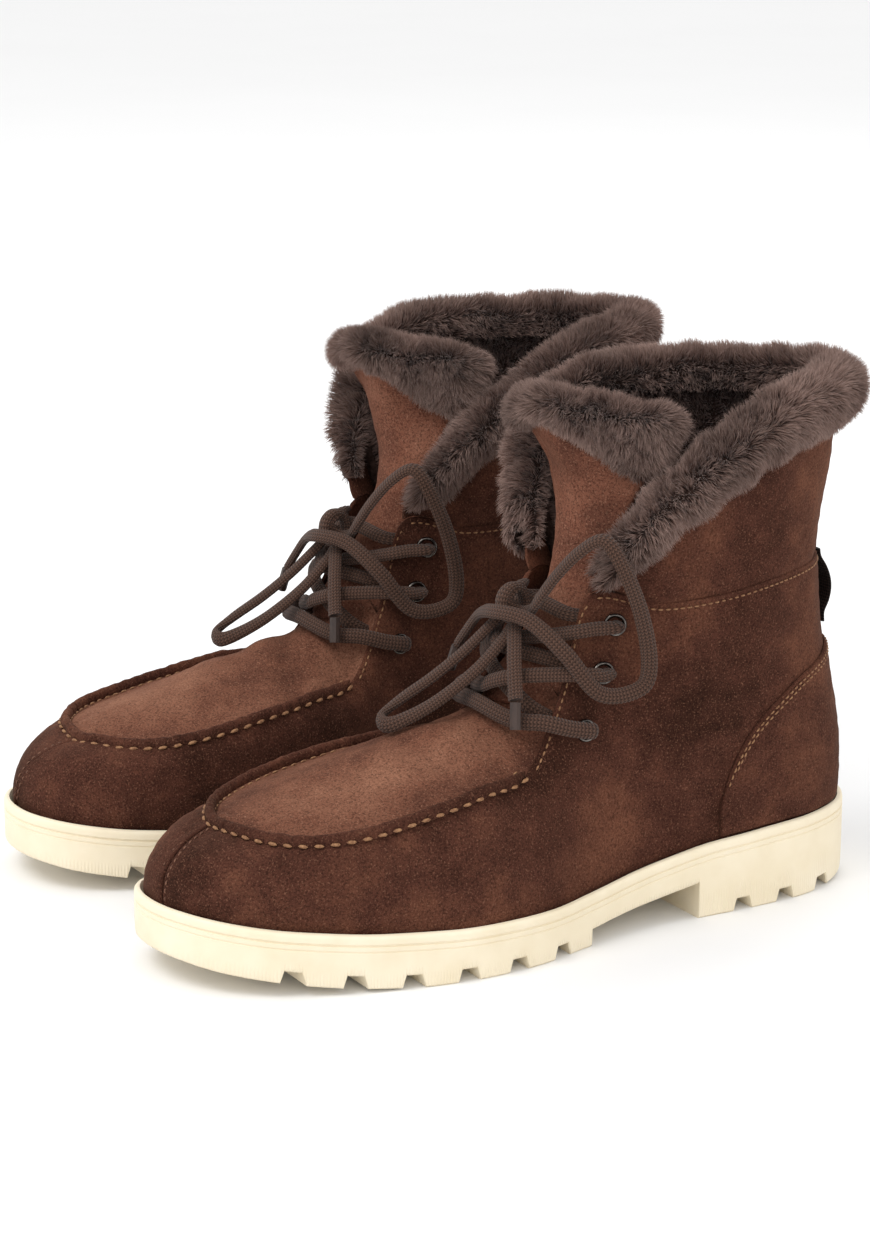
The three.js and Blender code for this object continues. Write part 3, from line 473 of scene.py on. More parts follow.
def softNoise(points, wavelength, seed, waves=11):
    # sum of plane waves in random directions, about -1 to 1
    rng = np.random.default_rng(seed)
    ways = unit(rng.normal(size=(waves, 3))) * rng.uniform(0.6, 1.5, (waves, 1))
    starts = rng.uniform(0, 2 * np.pi, waves)
    return np.sin(points @ ways.T * (2 * np.pi / wavelength) + starts).sum(-1) / math.sqrt(waves)


# Meshes.

def makeObject(name, side, points, faces, material, body, uv=None, sharp=None, attribute=None,
               flip=False):
    # points in the boot's millimetres; faces is a list of index arrays, each (count, corners)
    mesh = bpy.data.meshes.new(name)
    turned = (side == "right") != flip
    blocks = [block[:, ::-1] if turned else block for block in faces]
    places = placeBoot(side, np.asarray(points).reshape(-1, 3))
    mesh.vertices.add(len(places))
    mesh.vertices.foreach_set("co", places.astype(np.float32).ravel())
    corners = np.concatenate([block.ravel() for block in blocks])
    sizes = np.concatenate([np.full(len(block), block.shape[1]) for block in blocks])
    mesh.loops.add(len(corners))
    mesh.loops.foreach_set("vertex_index", corners.astype(np.int32))
    mesh.polygons.add(len(sizes))
    mesh.polygons.foreach_set("loop_start", np.concatenate([[0], np.cumsum(sizes)[:-1]]).astype(np.int32))
    mesh.polygons.foreach_set("use_smooth", np.ones(len(sizes), bool))
    if uv is not None:
        layer = mesh.uv_layers.new(name="UVMap")
        layer.uv.foreach_set("vector", np.asarray(uv, np.float32)[corners].ravel())
    if attribute is not None:
        data = mesh.attributes.new(attribute[0], "FLOAT", "POINT")
        data.data.foreach_set("value", np.asarray(attribute[1], np.float32).ravel())
    mesh.update(calc_edges=True)
    mesh.validate()
    if sharp:
        mesh.set_sharp_from_angle(angle=math.radians(sharp))
    mesh.materials.append(material)
    piece = bpy.data.objects.new(name, mesh)
    bpy.context.scene.collection.objects.link(piece)
    if body:
        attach(piece, body)
    return piece


def gridFaces(rows, columns, wrapRows=False, wrapColumns=False):
    # four-sided faces of a grid of points, closed on itself where it wraps
    i, j = np.meshgrid(np.arange(rows if wrapRows else rows - 1),
                       np.arange(columns if wrapColumns else columns - 1), indexing="ij")
    ahead, beside = (i + 1) % rows, (j + 1) % columns
    return np.stack([i * columns + j, ahead * columns + j, ahead * columns + beside,
                     i * columns + beside], -1).reshape(-1, 4)


def tubeFaces(rows, columns):
    # rings joined into a tube, with a flat cap at each end
    caps = [np.arange(columns)[None, ::-1], ((rows - 1) * columns + np.arange(columns))[None]]
    return [gridFaces(rows, columns, wrapColumns=True)] + caps


def runningLength(points):
    # distance along the first axis, from its start to each of its points
    steps = np.linalg.norm(np.diff(points, axis=0), axis=-1)
    return np.concatenate([np.zeros((1,) + steps.shape[1:]), steps.cumsum(0)])


def spread(low, high, count):
    # even steps with a few short ones at both ends, where an edge rolls over
    step = (high - low) / count
    even = np.linspace(low, high, count + 1)
    extra = np.array([0.06, 0.18, 0.38, 0.66]) * step
    return np.unique(np.concatenate([even, low + extra, high - extra]))


def leafGrid(surface, columns, rows, thickness, roll=0.7, lift=None):
    # outer and inner skin of a panel; the outer one is lifted, and rolls down at the rims
    u = np.asarray(columns, float)[:, None]
    v = np.asarray(rows, float)
    v = np.broadcast_to(v, (len(u), v.shape[-1])) if v.ndim == 1 else v
    u = np.broadcast_to(u, v.shape)
    base = surface(u, v)
    outward = outwardOf(surface, u, v)
    raised = np.zeros(v.shape) if lift is None else lift(base, u, v)
    if roll:
        alongRows, alongColumns = runningLength(base.swapaxes(0, 1)).T, runningLength(base)
        edge = np.minimum.reduce([alongRows, alongRows[:, -1:] - alongRows, alongColumns,
                                  alongColumns[-1:] - alongColumns])
        inside = 1 - np.clip(edge / roll, 0, 1)
        raised = raised - roll * (1 - np.sqrt(np.maximum(1 - inside ** 2, 0)))
    return base + outward * raised[..., None], base - outward * thickness, outward


def leafMesh(outer, inner):
    # closed leaf: a loop of outer and inner skin in each row, with a cap on the first and the last
    rows, columns = outer.shape[:2]
    loop = np.concatenate([outer, inner[:, ::-1]], 1)
    j = np.arange(columns - 1)
    last = (rows - 1) * 2 * columns
    front = np.stack([j, j + 1, 2 * columns - 2 - j, 2 * columns - 1 - j], -1)
    return loop.reshape(-1, 3), [gridFaces(rows, 2 * columns, wrapColumns=True), front,
                                 last + front[:, ::-1]]


def makeLeaf(name, side, surface, columns, rows, thickness, material, body, roll=0.7,
             lift=None):
    outer, inner, _ = leafGrid(surface, columns, rows, thickness, roll, lift)
    points, faces = leafMesh(outer, inner)
    return makeObject(name, side, points, faces, material, body)


# Stitches: each one a small spindle of thread lying along its row.

def stitchRow(points, outward, pitch, length, width, height, dip=0.25, slant=0.0):
    # spindle: its radius is the root of one minus the cube of its place along the stitch, and its
    # ends sink into the suede
    distance = runningLength(points)
    count = max(int(distance[-1] / pitch), 1)
    places = (np.arange(count) + 0.5) * distance[-1] / count

    def read(values, at):
        return np.stack([np.interp(at, distance, values[:, k]) for k in range(3)], -1)

    centre = read(points, places)
    ahead = unit(read(points, np.clip(places + 0.8, 0, distance[-1]))
                 - read(points, np.clip(places - 0.8, 0, distance[-1])))
    up = unit(read(outward, places))
    across = unit(np.cross(ahead, up))
    ahead = unit(ahead + slant * across)
    across = unit(np.cross(ahead, up))
    rings, around = 6, 6
    t = np.linspace(-1, 1, rings)
    angle = np.arange(around) * 2 * np.pi / around
    fat = np.sqrt(np.clip(1.02 - np.abs(t) ** 3, 0.02, 1))
    sink = dip * np.abs(t) ** 3
    local = (centre[:, None, None]
             + ahead[:, None, None] * (t * length / 2)[None, :, None, None]
             + across[:, None, None] * (fat[:, None] * np.cos(angle) * width / 2)[None, ..., None]
             + up[:, None, None] * (fat[:, None] * np.sin(angle) * height / 2
                                    - sink[:, None])[None, ..., None])
    flat = local.reshape(-1, 3)
    one = gridFaces(rings, around, wrapColumns=True)
    caps = np.array([[3, 2, 1, 0], [5, 4, 3, 0]])
    endCaps = np.array([[0, 1, 2, 3], [0, 3, 4, 5]]) + (rings - 1) * around
    base = (np.arange(len(centre)) * rings * around)[:, None, None]
    faces = np.concatenate([one, caps, endCaps])[None] + base
    return flat, faces.reshape(-1, 4)


def joinMeshes(parts):
    # meshes of points and faces, one after the other in one
    points, faces, start = [], [], 0
    for vertices, block in parts:
        points.append(vertices)
        faces.append(block + start)
        start += len(vertices)
    return np.concatenate(points), [np.concatenate(faces)]


def rowOn(surface, a, b, lift):
    # points lifted off a surface, with their outward directions
    a, b = np.broadcast_arrays(np.asarray(a, float), np.asarray(b, float))
    outward = outwardOf(surface, a, b)
    return surface(a, b) + outward * lift, outward


# Wool.

def sampleGrid(points, count, rng):
    # random places on a grid surface, as many per area everywhere
    a, b, c, d = points[:-1, :-1], points[1:, :-1], points[1:, 1:], points[:-1, 1:]
    area = np.linalg.norm(np.cross(c - a, d - b), axis=-1) / 2
    share = np.cumsum(area.ravel())
    cell = np.searchsorted(share, rng.uniform(0, share[-1], count))
    i, j = np.unravel_index(np.minimum(cell, area.size - 1), area.shape)
    return i, j, rng.uniform(0, 1, count), rng.uniform(0, 1, count)


def readGrid(grid, place):
    # straight-line reading between the four nearest points
    i, j, s, t = place
    s, t = (s[:, None], t[:, None]) if grid.ndim == 3 else (s, t)
    return ((1 - s) * (1 - t) * grid[i, j] + s * (1 - t) * grid[i + 1, j]
            + s * t * grid[i + 1, j + 1] + (1 - s) * t * grid[i, j + 1])


def growWool(name, side, grid, outward, comb, length, settings, material, body, seed):
    # each fibre: two-step ribbon from the pelt, leaning along the comb, with locks that part
    rng = np.random.default_rng(seed)
    place = sampleGrid(grid, settings["fibres"], rng)
    root, up, way = readGrid(grid, place), unit(readGrid(outward, place)), readGrid(comb, place)
    reach = readGrid(length, place) * rng.uniform(0.72, 1.12, len(root))
    locks = np.stack([softNoise(root, settings["lock"], seed + k) for k in range(3)], -1)
    tufts = np.stack([softNoise(root, settings["tuft"], seed + 7 + k) for k in range(3)], -1)
    strayed = rng.normal(size=root.shape) * 0.16
    lean = way + locks * settings["part"] + tufts * settings["curl"] + strayed
    lean = lean - up * np.sum(lean * up, -1, keepdims=True)
    first = unit(up + 0.45 * lean)
    second = unit(up + 1.15 * lean)
    middle = root + first * (reach * 0.5)[:, None]
    tip = middle + second * (reach * 0.5)[:, None]
    turn = rng.normal(size=root.shape)
    across = unit(np.cross(first, turn))
    wide = settings["width"] * rng.uniform(0.7, 1.3, len(root))[:, None] / 2
    points = np.stack([root - across * wide, root + across * wide, middle + across * wide * 0.85,
                       middle - across * wide * 0.85, tip], 1)
    base = np.arange(len(root))[:, None] * 5
    quads = base + np.array([[0, 1, 2, 3]])
    tris = base + np.array([[3, 2, 4]])
    shade = np.clip(0.5 + 0.28 * softNoise(root, settings["lock"] * 1.6, seed + 21)
                    + rng.normal(size=len(root)) * 0.16, 0.02, 0.98)
    uv = np.stack([np.repeat(shade, 5), np.tile([0.02, 0.02, 0.5, 0.5, 0.98], len(root))], -1)
    return makeObject(name, side, points.reshape(-1, 3), [quads, tris], material, body, uv=uv)


# Camera.

camera = bpy.data.objects.new("camera", bpy.data.cameras.new("camera"))
bpy.context.scene.collection.objects.link(camera)
view = {"eye": (1153.5, -637.7, 443.1), "azimuth": 60.848, "elevation": 14.582, "lens": 138.4}
turned, raised = math.radians(view["azimuth"]), math.radians(view["elevation"])
backward = Vector((math.sin(turned) * math.cos(raised), -math.cos(turned) * math.cos(raised),
                   math.sin(raised)))
rightward = Vector((math.cos(turned), math.sin(turned), 0))
upward = backward.cross(rightward)
camera.matrix_world = Matrix.Translation(Vector(view["eye"]) / 1000) @ Matrix(
    (rightward, upward, backward)).transposed().to_4x4()
camera.data.lens = view["lens"]
camera.data.sensor_width = 36
camera.data.sensor_fit = "HORIZONTAL"
camera.data.clip_end = 20
bpy.context.scene.camera = camera
print("camera set")

# Laces.

laceRoute = [
    [25, -12, 97], [17, -8, 109], [11, -4.5, 116], [5, -1.5, 120.5],
    [2.5, -4.5, 114.5], [-1, -15, 102.5], [-7.5, -30, 89.8], [-15, -44, 81.8], [-22.5, -44.5, 83],
    [-23, -36, 88.5], [-18, -24, 97.5], [-13, -13, 107.5], [-9, -3, 118], [-6, 5, 126.5],
    [2, 9.5, 129], [17.5, 15, 126], [19, 24.5, 124],
    [23.5, 32.6, 121.5], [27.9, 30.3, 121.9], [33.6, 27.3, 122.5],
    [30, 20, 122], [25.5, 13.5, 120.5], [13, 7.5, 117], [-2, 3.5, 113.5], [-19.5, 8.5, 108.5],
    [-23.5, 18, 105],
    [-23.9, 26.2, 102.8], [-29.5, 25, 103.5], [-35.9, 23.9, 104.2],
    [-35.3, 16.5, 105], [-31, 8, 106], [-16, -1, 105], [1, -6, 101], [19.5, -3, 92], [23.5, 8, 85],
    [25.6, 16, 81.4], [30.5, 15.9, 82.4], [36.9, 15.8, 83.8],
    [35.5, 7, 85.5], [31, -2.5, 88], [20, -11, 88], [0, -16, 91.5], [-22, -11, 88.5],
    [-35, -2, 88.5], [-38.5, 7.5, 85.5],
    [-38.4, 16.1, 83.4], [-32, 15.7, 82.4], [-27, 15.4, 81.7],
    [-24.5, 7.5, 85], [-20.5, -3.5, 92], [-2, -10.8, 96.5], [6, -11, 100], [16, -6, 103.5],
    [29.3, 7.5, 105.5], [34.6, 15.5, 105.4],
    [34.2, 23.8, 104.3], [27.9, 25.2, 103.4], [22.4, 26.6, 102.7],
    [21.6, 18, 105], [17.5, 8.5, 108.5], [-1, -2.5, 111.5], [-10, -0.5, 114], [-17, 5.5, 116.5],
    [-28, 12.5, 120], [-32.5, 19.5, 122],
    [-35.1, 27.7, 122.6], [-29.2, 30.2, 121.9], [-24.6, 32.2, 121.4],
    [-21, 24.5, 124], [-19.5, 15, 126], [-5, 8.5, 133.5], [1, 2.5, 134.5], [2, -3, 130],
    [5, 1, 125.5], [10, 3.5, 127], [16, 3, 132], [24, 6, 143], [33, 10.5, 153.5], [40, 16.5, 159],
    [45, 21, 152], [47.5, 29, 132], [47.5, 33.5, 111], [45, 31, 100.5], [39, 17, 99],
    [31, 6, 114.5], [16.5, -1.5, 125], [1, -8, 126], [-16, -4, 121], [-23, -5, 114],
    [-28.5, -7, 106],
]
laceSettings = {"width": 6.4, "thick": 3.6, "ribs": 12, "ribDepth": 0.22, "perStep": 8, "around": 48,
                "rightShift": 1.6, "eyeletWidth": 5.6, "eyeletReach": 4.5}
knotSettings = {"at": (1.5, 0.5, 128.5), "tall": 6.6, "deep": 5.2, "steps": 40, "way": (1.0, 0.12, 0.1)}


def lacePlace(side, points):
    # the lace isn't mirrored: the right one is the left one moved across
    points = np.array(points, float)
    if side == "right":
        points[..., 0] = -(points[..., 0] + laceSettings["rightShift"])
    return points


def smoothPath(points, perStep):
    # smooth curve through the points, in equal steps between each two
    steps = np.arange((len(points) - 1) * perStep + 1) / perStep
    return readRow(np.array(points, float), steps)


def steadySides(path, towards):
    # side directions that keep the flat face turned the given way and never flip
    ahead = unit(np.gradient(path, axis=0))
    raw = np.cross(ahead, unit(towards))
    for i in range(1, len(raw)):
        if np.dot(raw[i], raw[i - 1]) < 0:
            raw[i] = -raw[i]
    width = 10
    kernel = np.hanning(2 * width + 1)
    padded = np.pad(raw, ((width, width), (0, 0)), mode="edge")
    smooth = np.stack([np.convolve(padded[:, k], kernel / kernel.sum(), "valid") for k in range(3)], -1)
    smooth = smooth - ahead * np.sum(smooth * ahead, -1, keepdims=True)
    return ahead, unit(smooth)


def makeBraid(name, side, rings, length, flipFaces, caps=()):
    # the last column repeats the first so that the map has a clean seam; length is in millimetres
    rings = np.concatenate([rings, rings[:, :1]], 1)
    rows, columns = rings.shape[:2]
    uv = np.stack(np.broadcast_arrays((np.arange(columns) / (columns - 1))[None],
                                      length[:, None] / 1000), -1).reshape(-1, 2)
    faces = gridFaces(rows, columns)
    faces = faces[:, ::-1] if flipFaces else faces
    return makeObject(name, side, lacePlace(side, rings), [faces, *caps], materials["braid"],
                      f"{side}_boot", uv=uv, flip=side == "right")


def braidOutline():
    # cosine and sine of the way round, both drawn in between the ribs
    s = laceSettings
    angle = np.arange(s["around"]) * 2 * np.pi / s["around"]
    rib = 1 - s["ribDepth"] * (0.5 - 0.5 * np.cos(angle * s["ribs"])) * 0.5
    return np.cos(angle) * rib, np.sin(angle) * rib


def makeKnot(side):
    # one turn of lace round the middle of the bow, on an upright oval
    s, k = laceSettings, knotSettings
    flat, deep = braidOutline()
    turn = np.linspace(0, 2 * np.pi, k["steps"] + 1)
    outward = np.stack([0 * turn, -np.cos(turn), np.sin(turn)], -1)
    wrap = np.array(k["at"]) + outward * [0, k["deep"], k["tall"]]
    rings = (wrap[:, None] + np.array(k["way"]) * (s["width"] / 2 * flat)[None, :, None]
             + outward[:, None] * (s["thick"] / 2 * deep)[None, :, None])
    return makeBraid(f"{side}_lace_knot", side, rings, turn * (k["tall"] + k["deep"]) / 2, False)


def makeLace(side):
    s = laceSettings
    path = smoothPath(laceRoute, s["perStep"])
    middle = np.array([0, 60, 60.0])
    ahead, across = steadySides(path, path - middle)
    up = np.cross(across, ahead)
    flat, deep = braidOutline()
    # the lace is squeezed where it passes an eyelet
    holes = np.array([wallPoint(station, share) for places in (eyeletPlaces, medialPlaces)
                      for station, share in places])
    near = np.linalg.norm(path[:, None] - holes[None], axis=-1).min(1)
    width = s["width"] - (s["width"] - s["eyeletWidth"]) * np.exp(-(near / s["eyeletReach"]) ** 2)
    rings = (path[:, None] + across[:, None] * (width[:, None] / 2 * flat)[..., None]
             + up[:, None] * (s["thick"] / 2 * deep)[None, :, None])
    last = (len(path) - 1) * (s["around"] + 1)
    ends = [np.arange(s["around"])[None], (last + np.arange(s["around"]))[None, ::-1]]
    lace = makeBraid(f"{side}_lace_braid", side, rings, runningLength(path), True, ends)
    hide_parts(f"{side}_lace")
    line = placeBoot(side, lacePlace(side, path))
    knot = makeKnot(side)


for side in sides:
    makeLace(side)
print("laces made")

# Cup sole.

soleSettings = {
    "grooves": [-113.9 + 21.8 * k for k in range(6)] + [65 + 21.2 * k for k in (1, 2, 3)],
    "depth": 5.0, "foot": 9.0, "root": 6.0, "treadEnd": 11.0, "heelFront": 65.0,
    "edgeInset": 1.0, "innerGap": 0.6, "innerDrop": 0.5, "wallTop": 8.0, "chamfer": (0.3, 0.7),
    "acrossSteps": 7,
    # how far below the lip each line of the side wall lies, and how far it is drawn in
    "upperRows": [(0, 2.2), (0.05, 1.3), (0.35, 0.6), (0.9, 0.2), (1.8, 0.02), (3.4, 0), (3.7, 0.5),
                  (4.2, 0.5), (4.5, 0), (6.0, 0), (6.25, 0.3), (6.55, 0.3), (6.8, 0), (8.0, 0)],
    "lowerRows": [(0.75, 0), (0.5, 0), (0.3, 0.05), (0.14, 0.12)],
}


def bottomHeight(y):
    # tread, lifted to the root inside each groove and to the arch at the waist
    s = soleSettings
    height = treadHeight(y)
    for middle in s["grooves"]:
        inside = np.clip((s["foot"] / 2 - np.abs(y - middle)) / ((s["foot"] - s["root"]) / 2), 0, 1)
        height = height + inside * s["depth"]
    waist = np.interp(y, [s["treadEnd"], 44, s["heelFront"]], [6.5, 11, 14.5])
    between = (y > s["treadEnd"]) & (y < s["heelFront"])
    return np.where(between, waist, height)


def soleLevels(fine, edgeLine):
    # places along the sole: even steps round its edge, and the corners of grooves, waist and heel
    s = soleSettings
    marks = [middle + k * s[part] / 2 for middle in s["grooves"] for part in ("foot", "root")
             for k in (-1, 1)]
    marks += [s[end] + k * 0.01 for end in ("treadEnd", "heelFront") for k in (-1, 1)]
    even = np.interp(np.linspace(0, shape["heel"], 240), fine, edgeLine)
    return np.unique(np.concatenate([even, marks]))


def soleWall(station, levels):
    # lines of one side wall, from the lip's inner foot down to the tread; rib marks the ribbed ones
    s = soleSettings
    edge, _ = outlinePoint(station, s["edgeInset"])
    bottom = bottomHeight(levels)
    lip = lipHeight(edge[:, 1])
    inner, _ = outlinePoint(station, shape["lipWidth"] + s["innerGap"])
    lines = [(inner, lip - shape["lipDepth"] - s["innerDrop"], 0)]
    for drop, inset in s["upperRows"]:
        lines.append((outlinePoint(station, inset)[0], lip - drop, 0))
    for share, inset in s["lowerRows"]:
        height = bottom + (lip - s["wallTop"] - bottom) * share
        lines.append((outlinePoint(station, inset)[0], height, 1 if share < 0.4 else 0))
    inset, rise = s["chamfer"]
    lines += [(outlinePoint(station, inset)[0], bottom + rise, 1), (edge, bottom, 1)]
    wall = np.stack([np.column_stack([flat, height]) for flat, height, _ in lines], 1)
    return wall, [rib for _, _, rib in lines]


def makeSole(side):
    # cup and tread in one: loops across the sole, each through both side walls
    s = soleSettings
    fine = np.linspace(0, shape["heel"], 4001)
    edgeLines = [np.maximum.accumulate(outlinePoint(stations, s["edgeInset"])[0][:, 1])
                 for stations in (fine, shape["ring"] - fine)]
    levels = soleLevels(fine, edgeLines[0])
    walls = []
    for number, edgeLine in enumerate(edgeLines):
        station = np.interp(levels, edgeLine, fine)
        station[[0, -1]] = 0, shape["heel"]      # both sides meet at the toe and at the heel
        walls.append(soleWall(shape["ring"] - station if number else station, levels))
    (lateral, rib), (medial, _) = walls
    across = np.linspace(0, 1, s["acrossSteps"] + 2)[1:-1][None, :, None]
    under = lateral[:, -1:] * (1 - across) + medial[:, -1:] * across
    floor = medial[:, :1] * (1 - across) + lateral[:, :1] * across
    loops = np.concatenate([lateral, under, medial[:, ::-1], floor], 1)
    ribs = np.concatenate([rib, np.zeros(s["acrossSteps"]), rib[::-1], np.zeros(s["acrossSteps"])])
    rows, count = loops.shape[:2]
    faces = gridFaces(rows, count, wrapColumns=True)[:, ::-1]
    sole = makeObject(f"{side}_cup_sole", side, loops, [faces], materials["rubber"], f"{side}_boot",
                      sharp=32, attribute=("rib", np.tile(ribs, rows)))
    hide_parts(f"{side}_outsole")


for side in sides:
    makeSole(side)
print("soles made")

# Suede panels.

panelSettings = {
    "creases": 0.45, "creaseSize": 46, "nap": 0.12, "napSize": 7,
    # station where the heel panel starts, how far past it the crest and the panel run, its height
    "heelSeam": 11.0, "crestPast": 0.7, "heelPast": 0.62, "heelCrest": 0.68, "heelLift": 1.3,
    "seamGap": 0.008, "eyeletCut": 3.3,
}


def suedeLift(seed, seams=()):
    # long creases and a fine nap from two noises, plus the seams
    def lift(base, u, v):
        s = panelSettings
        wrinkles = s["creases"] * softNoise(base, s["creaseSize"], seed)
        nap = s["nap"] * softNoise(base, s["napSize"], seed + 50)
        low = wrinkles + nap
        for seam in seams:
            low = low + seam(base, u, v)
        return low
    return lift


def groove(distance, width, depth):
    # bell-shaped dip around distance nought
    return -depth * np.exp(-(distance / width) ** 2)


def heelCrest(station):
    # root of one minus the square of the distance from the back seam
    reach = shape["heel"] - panelSettings["heelSeam"] + panelSettings["crestPast"]
    inside = np.clip(1 - ((shape["heel"] - station) / reach) ** 2, 0, 1)
    return panelSettings["heelCrest"] * np.sqrt(inside)


def cutHoles(piece, side, places, radius):
    # cylinders along the wall's outward direction, taken out of the panel
    angle = np.arange(32) * 2 * np.pi / 32
    for index, (station, share) in enumerate(places):
        middle = wallPoint(station, share)
        outward = outwardOf(wallPoint, station, share)
        first = unit(np.cross(outward, [0, 0, 1.0]))
        second = np.cross(outward, first)
        ring = middle + radius * (np.cos(angle)[:, None] * first + np.sin(angle)[:, None] * second)
        ends = np.concatenate([ring - 6 * outward, ring + 6 * outward])
        walls = gridFaces(2, 32, wrapColumns=True)
        caps = [np.arange(32)[None], (32 + np.arange(32))[None, ::-1]]
        tool = makeObject(f"hole_{index}", side, ends, [walls] + caps, materials["suedeDark"], None)
        modifier = piece.modifiers.new("hole", "BOOLEAN")
        modifier.operation = "DIFFERENCE"
        modifier.solver = "EXACT"
        modifier.object = tool
        bpy.context.view_layer.update()
        graph = bpy.context.evaluated_depsgraph_get()
        mesh = bpy.data.meshes.new_from_object(piece.evaluated_get(graph))
        piece.modifiers.clear()
        old, piece.data = piece.data, mesh
        bpy.data.meshes.remove(old)
        bpy.data.objects.remove(tool)


def makeQuarter(side, name, first, last, places, seed):
    # suede side from toe seam to back seam, with its eyelet holes
    gap = panelSettings["seamGap"]
    columns = spread(first + gap, last - gap, 150)

    def seams(base, u, v):
        # the panel pinches in along the collar seam, behind the facing
        behind = np.minimum(u, shape["ring"] - u) > shape["corner"]
        return np.where(behind, groove((1 - v) * 100 - 2.2, 1.6, 0.35), 0)
    panel = makeLeaf(f"{side}_{name}_suede", side, leanedWall, columns, spread(0.02, 1.0, 54),
                     shape["suede"], materials["suedeDark"], f"{side}_boot", roll=0.8,
                     lift=suedeLift(seed, [seams]))
    cutHoles(panel, side, places, panelSettings["eyeletCut"])
    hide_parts(f"{side}_{name}")


def makeHeelPanel(side, seed):
    # patch over the heel, cut to the crest on top
    start = panelSettings["heelSeam"] - panelSettings["heelPast"]
    columns = spread(start, shape["ring"] - start, 96)
    crest = heelCrest(np.minimum(columns, shape["ring"] - columns))
    rows = 0.04 + (np.maximum(crest, 0.05) - 0.04)[:, None] * spread(0, 1, 30)[None]

    def lift(base, u, v):
        return panelSettings["heelLift"] + suedeLift(seed)(base, u, v)
    panel = makeLeaf(f"{side}_heel_panel_suede", side, wallPoint, columns, rows, 0.0,
                     materials["suedeDark"], f"{side}_boot", roll=1.1, lift=lift)
    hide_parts(f"{side}_heel_panel")


apronSettings = {"first": 0.55, "last": 7.85, "stitchInset": 3.9, "toeStation": 11, "tuck": -2.4,
                 "foldTall": 0.9, "foldAt": 5.9, "foldWide": 0.9}


def makeApron(side, seed):
    # dips along its stitching, creases over the instep and slips under the facings at the throat
    s = apronSettings

    def lift(base, u, v):
        width = np.linalg.norm(readRing(topRing, u) - readRing(topRing, shape["ring"] - u), axis=-1)
        inset = np.minimum(v, 1 - v) * width
        toeInset = np.where(u < 2, (u - 1.0) * s["toeStation"], 99)
        stitch = (groove(inset - s["stitchInset"], 1.3, 0.5)
                  + groove(toeInset - s["stitchInset"], 1.3, 0.4))
        near = np.exp(-((u - s["foldAt"]) / s["foldWide"]) ** 2)
        folds = s["foldTall"] * near * np.sin((v - 0.5) * 9 + u * 5.5)
        tucked = s["tuck"] * np.clip((u - 6.9) / 0.25, 0, 1)
        return suedeLift(seed)(base, u, v) + stitch + folds + tucked
    columns = spread(s["first"], s["last"], 100)
    panel = makeLeaf(f"{side}_apron_suede", side, apronPoint, columns, spread(0.004, 0.996, 64),
                     shape["suede"], materials["suedeApron"], f"{side}_boot", roll=0.6,
                     lift=lift)
    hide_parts(f"{side}_apron")


ridgeSettings = {"wide": 2.0, "tall": 2.6, "lift": 1.0, "pucker": 0.3, "pitch": 6.0, "around": 20,
                 "end": 6.95}


def seamLine(station):
    # the apron seam, round the toe from throat to throat
    return readRing(topRing, station)


def ridgeFrame(count):
    # the seam line with its directions ahead, to the side and up
    s = ridgeSettings
    station = np.linspace(-s["end"], s["end"], count)
    middle = seamLine(station)
    ahead = unit(seamLine(station + 0.02) - seamLine(station - 0.02))
    aside = unit(np.cross(ahead, [0, 0, 1.0]))
    return station, middle, ahead, aside, np.cross(aside, ahead)


def makeRidge(side, seed):
    # oval rope round the apron, pinched where each stitch passes through it
    s = ridgeSettings
    station, middle, _, aside, up = ridgeFrame(720)
    distance = runningLength(middle)
    pinch = 1 - s["pucker"] * (0.5 + 0.5 * np.cos(distance * 2 * np.pi / s["pitch"])) ** 3 * 0.4
    angle = np.arange(s["around"]) * 2 * np.pi / s["around"]
    fade = np.clip((s["end"] - np.abs(station)) / 0.25, 0.05, 1) ** 0.5
    wide = (s["wide"] * pinch * fade)[:, None] * np.cos(angle)
    tall = (s["tall"] * fade)[:, None] * np.sign(np.sin(angle)) * np.abs(np.sin(angle)) ** 0.8
    rings = middle[:, None] + aside[:, None] * wide[..., None] + up[:, None] * (tall + s["lift"])[..., None]
    rings = rings + unit(rings - middle[:, None]) * (0.16 * softNoise(rings, 5, seed))[..., None]
    ridge = makeObject(f"{side}_apron_ridge", side, rings, tubeFaces(*rings.shape[:2]),
                       materials["suedeDark"], f"{side}_boot")
    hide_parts(f"{side}_apron_seam")


collarSettings = {"first": 9.02, "overlap": 0.06}


def makeCollar(side, surface, seed):
    # tucked under the wall's edge at the seam, loosely folded above it
    s = collarSettings
    columns = spread(s["first"], shape["ring"] - s["first"], 170)

    def lift(base, u, v):
        tuck = -1.1 * np.clip((0.03 - v) / 0.06, 0, 1)
        folds = 0.7 * np.sin(u * 3.1 + seed) * np.clip(v, 0, 1)
        return suedeLift(seed)(base, u, v) + tuck + folds
    panel = makeLeaf(f"{side}_collar_suede", side, surface, columns, spread(-s["overlap"], 1.0, 44),
                     shape["suede"], materials["suedeDark"], f"{side}_boot", roll=0.5,
                     lift=lift)
    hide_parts(f"{side}_collar")


def makeTongue(side, surface, seed):
    # hemmed on both edges, with loose folds toward the top
    def lift(base, u, v):
        hem = 0.9 * np.exp(-((np.abs(u) - 0.95) / 0.05) ** 2)
        folds = 1.1 * np.sin(v * 2.1 + u * 2.6 + seed) * np.clip((v - 2.5) / 2, 0, 1)
        return suedeLift(seed)(base, u, v) + hem + folds
    panel = makeLeaf(f"{side}_tongue_suede", side, surface, spread(-1, 1, 44), spread(0, 7, 90), 4.6,
                     materials["suedeTongue"], None, roll=1.4, lift=lift)
    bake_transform(panel)
    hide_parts(f"{side}_tongue", f"{side}_tongue_flap")


